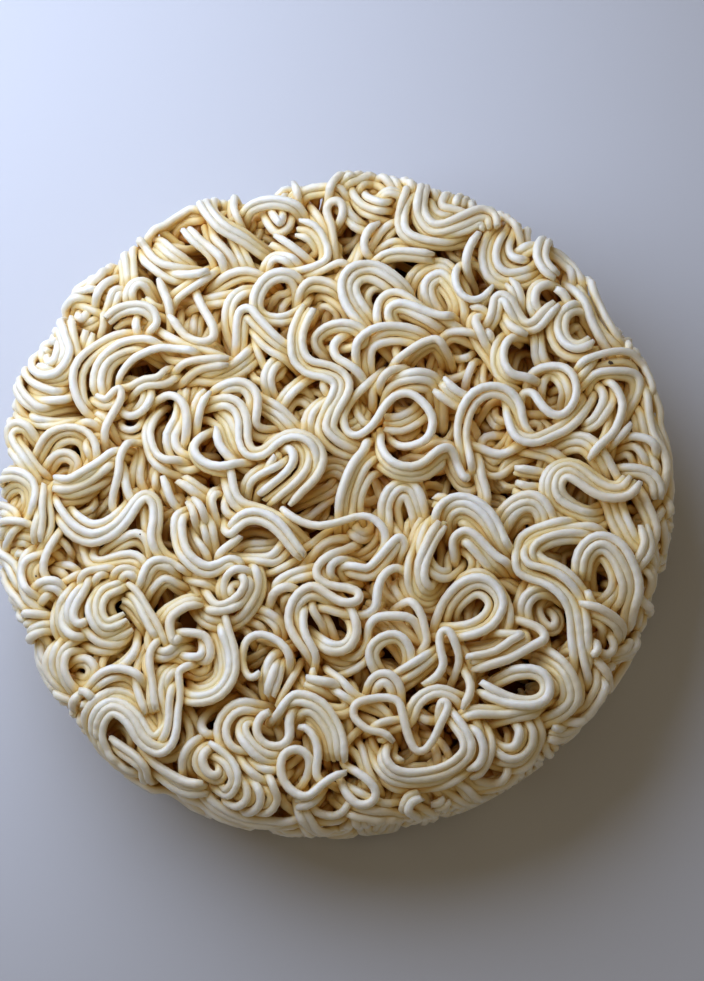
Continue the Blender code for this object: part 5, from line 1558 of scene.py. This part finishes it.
def makeFriedNoodle(name, sheen):
    # Steamed wheat dough fried in palm oil: a waxy ivory skin with a soft sheen and a little light in it
    material = newMaterial(name)
    place = addNode(material, "ShaderNodeTexCoord").outputs["Object"]
    tone = addNode(material, "ShaderNodeAttribute", {"attribute_name": "strandTone"}).outputs["Fac"]
    cover = addNode(material, "ShaderNodeAttribute", {"attribute_name": "coverOver"}).outputs["Fac"]
    scale = noodleSkin["patchScale"]
    patches = addNode(material, "ShaderNodeTexNoise", {"Scale": scale, "Detail": 2.0}, {"Vector": place})
    blend = addNode(
        material,
        "ShaderNodeMath",
        {"operation": "MULTIPLY_ADD", 1: 0.55},  # half from the strand, half from the patch
        {0: tone, 2: patches.outputs["Fac"]},
    )
    patchStops = {"stops": noodleSkin["patches"]}
    ramp = addNode(material, "ShaderNodeValToRGB", patchStops, {"Fac": blend.outputs[0]})
    # painted shade: the base colour is multiplied warmer and darker where more noodle lies over a spot, in
    # place of shade between the strands
    paintedShade = addNode(material, "ShaderNodeValToRGB", {"stops": noodleSkin["paintedShade"]}, {"Fac": cover})
    colour = addNode(
        material,
        "ShaderNodeMix",
        {"data_type": "RGBA", "blend_type": "MULTIPLY", 0: 1.0},
        {6: ramp.outputs["Color"], 7: paintedShade.outputs["Color"]},
    )
    grainScale, dentScale = noodleSkin["grainScale"], noodleSkin["dentScale"]
    grain = addNode(material, "ShaderNodeTexNoise", {"Scale": grainScale, "Detail": 3.0}, {"Vector": place})
    dents = addNode(material, "ShaderNodeTexNoise", {"Scale": dentScale, "Detail": 1.0}, {"Vector": place})
    dented = addNode(
        material, "ShaderNodeBump", {"Strength": 0.5, "Distance": 0.00035}, {"Height": dents.outputs["Fac"]}
    )
    bump = addNode(
        material,
        "ShaderNodeBump",
        {"Strength": 0.3, "Distance": 0.00012},
        {"Height": grain.outputs["Fac"], "Normal": dented.outputs["Normal"]},
    )
    skin = addNode(
        material,
        "ShaderNodeBsdfPrincipled",
        {
            "Roughness": 0.48,
            "IOR": 1.47,
            "Coat Weight": 0.4 * sheen,
            "Specular IOR Level": 0.5 * sheen,
            "Coat Roughness": 0.3,
            "Subsurface Weight": 0.4,
            "Subsurface Radius": (1.0, 0.85, 0.65),
            "Subsurface Scale": 0.0009,
        },
        {"Base Color": colour.outputs[2], "Normal": bump.outputs["Normal"]},
    )
    addNode(material, "ShaderNodeOutputMaterial", None, {"Surface": skin.outputs["BSDF"]})
    return material


def makeBranFleck():
    # Specks of toasted bran and herb stuck to the skin: dark, dry and matt
    material = newMaterial("toasted_bran_fleck")
    place = addNode(material, "ShaderNodeTexCoord").outputs["Object"]
    patches = addNode(material, "ShaderNodeTexNoise", {"Scale": 3000.0, "Detail": 2.0}, {"Vector": place})
    stops = {"stops": ((0.4, "#2A1B12"), (0.65, "#5A4634"))}
    ramp = addNode(material, "ShaderNodeValToRGB", stops, {"Fac": patches.outputs["Fac"]})
    skin = addNode(
        material, "ShaderNodeBsdfPrincipled", {"Roughness": 0.75}, {"Base Color": ramp.outputs["Color"]}
    )
    addNode(material, "ShaderNodeOutputMaterial", None, {"Surface": skin.outputs["BSDF"]})
    return material


friedNoodle = makeFriedNoodle("fried_wheat_noodle", 1.0)
crushedNoodle = makeFriedNoodle("crushed_wheat_noodle", 0.0)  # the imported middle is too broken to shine
skins = {"bran_flecks": makeBranFleck(), "packed_middle": crushedNoodle}
pieces = []
for name in dict.fromkeys(groups):
    lines = [line for line, group in zip(strands, groups) if group == name]
    under, pressed = name.endswith(("Under", "Deep", "Filling")), name.endswith("Pressed")
    turn = tube["underTurn" if under else "pressedTurn" if pressed else "turn"]
    resolution = tube["underResolution" if under else "resolution"]
    pieces.append(makeNoodles(f"noodles_{name}", lines, turn, resolution))
pieces.append(makeMiddle())
pieces.append(makeFlecks())
for piece in pieces:
    piece.data.materials.clear()
    piece.data.materials.append(skins.get(piece.name, friedNoodle))
    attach(piece, "root")
    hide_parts("noodle_block")
say("made the noodles")


def makeCamera():
    right, up, ahead, eye = viewAxes()
    lens = bpy.data.cameras.new("camera")
    lens.sensor_width = view["sensor"]
    lens.lens = view["sensor"] * view["distance"] * view["pixelsPerMm"] / view["imageHeight"]
    lens.clip_start = 0.01
    lens.dof.use_dof = False
    camera = addObject("camera", lens)
    turn = Matrix((right, up, -ahead)).transposed()
    camera.matrix_world = Matrix.Translation(eye * mm) @ turn.to_4x4()
    bpy.context.scene.camera = camera


# Soft studio light: where each lamp stands and what it aims at, its size in metres, its watts and its colour
lights = {
    "window": ((-0.05, 0.1, 0.12), (0, 0.02, 0.01), 0.24, 0.43, "#D4E1FF"),
    "fill": ((0.3, -0.5, 0.6), (0, 0, 0.01), 0.6, 0.15, "#FFF2DC"),
}
surroundings = {
    "colour": "#FBE7C8",
    "strength": 0.18,
}


def addLight(name, place, target, size, power, colour):
    lamp = bpy.data.lights.new(name, "AREA")
    lamp.shape = "DISK"
    lamp.size = size
    lamp.energy = power
    lamp.color = linear(colour)[:3]
    light = addObject(name, lamp)
    light.location = place
    light.visible_camera = False
    light.rotation_euler = (Vector(target) - Vector(place)).to_track_quat("-Z", "Y").to_euler()


makeCamera()
for name, settings in lights.items():
    addLight(name, *settings)
world = bpy.data.worlds.new("studio")
world.use_nodes = True
background = world.node_tree.nodes["Background"]
background.inputs["Color"].default_value = linear(surroundings["colour"])
background.inputs["Strength"].default_value = surroundings["strength"]
bpy.context.scene.world = world
bpy.context.scene.view_settings.view_transform = "Standard"
bpy.context.scene.cycles.diffuse_bounces = 8  # light finds its way down between the strands

floorShape = bmesh.new()
bmesh.ops.create_grid(floorShape, x_segments=1, y_segments=1, size=3.0)
floor = addObject("floor", meshFrom(floorShape, "floor", smooth=False))
paper = newMaterial("matt_paper_sweep")  # pale uncoated paper: even, and without a shine
paperSkin = addNode(paper, "ShaderNodeBsdfPrincipled", {"Base Color": linear("#CDCFD2"), "Roughness": 0.8})
addNode(paper, "ShaderNodeOutputMaterial", None, {"Surface": paperSkin.outputs["BSDF"]})
floor.data.materials.append(paper)

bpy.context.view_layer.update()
say("done")
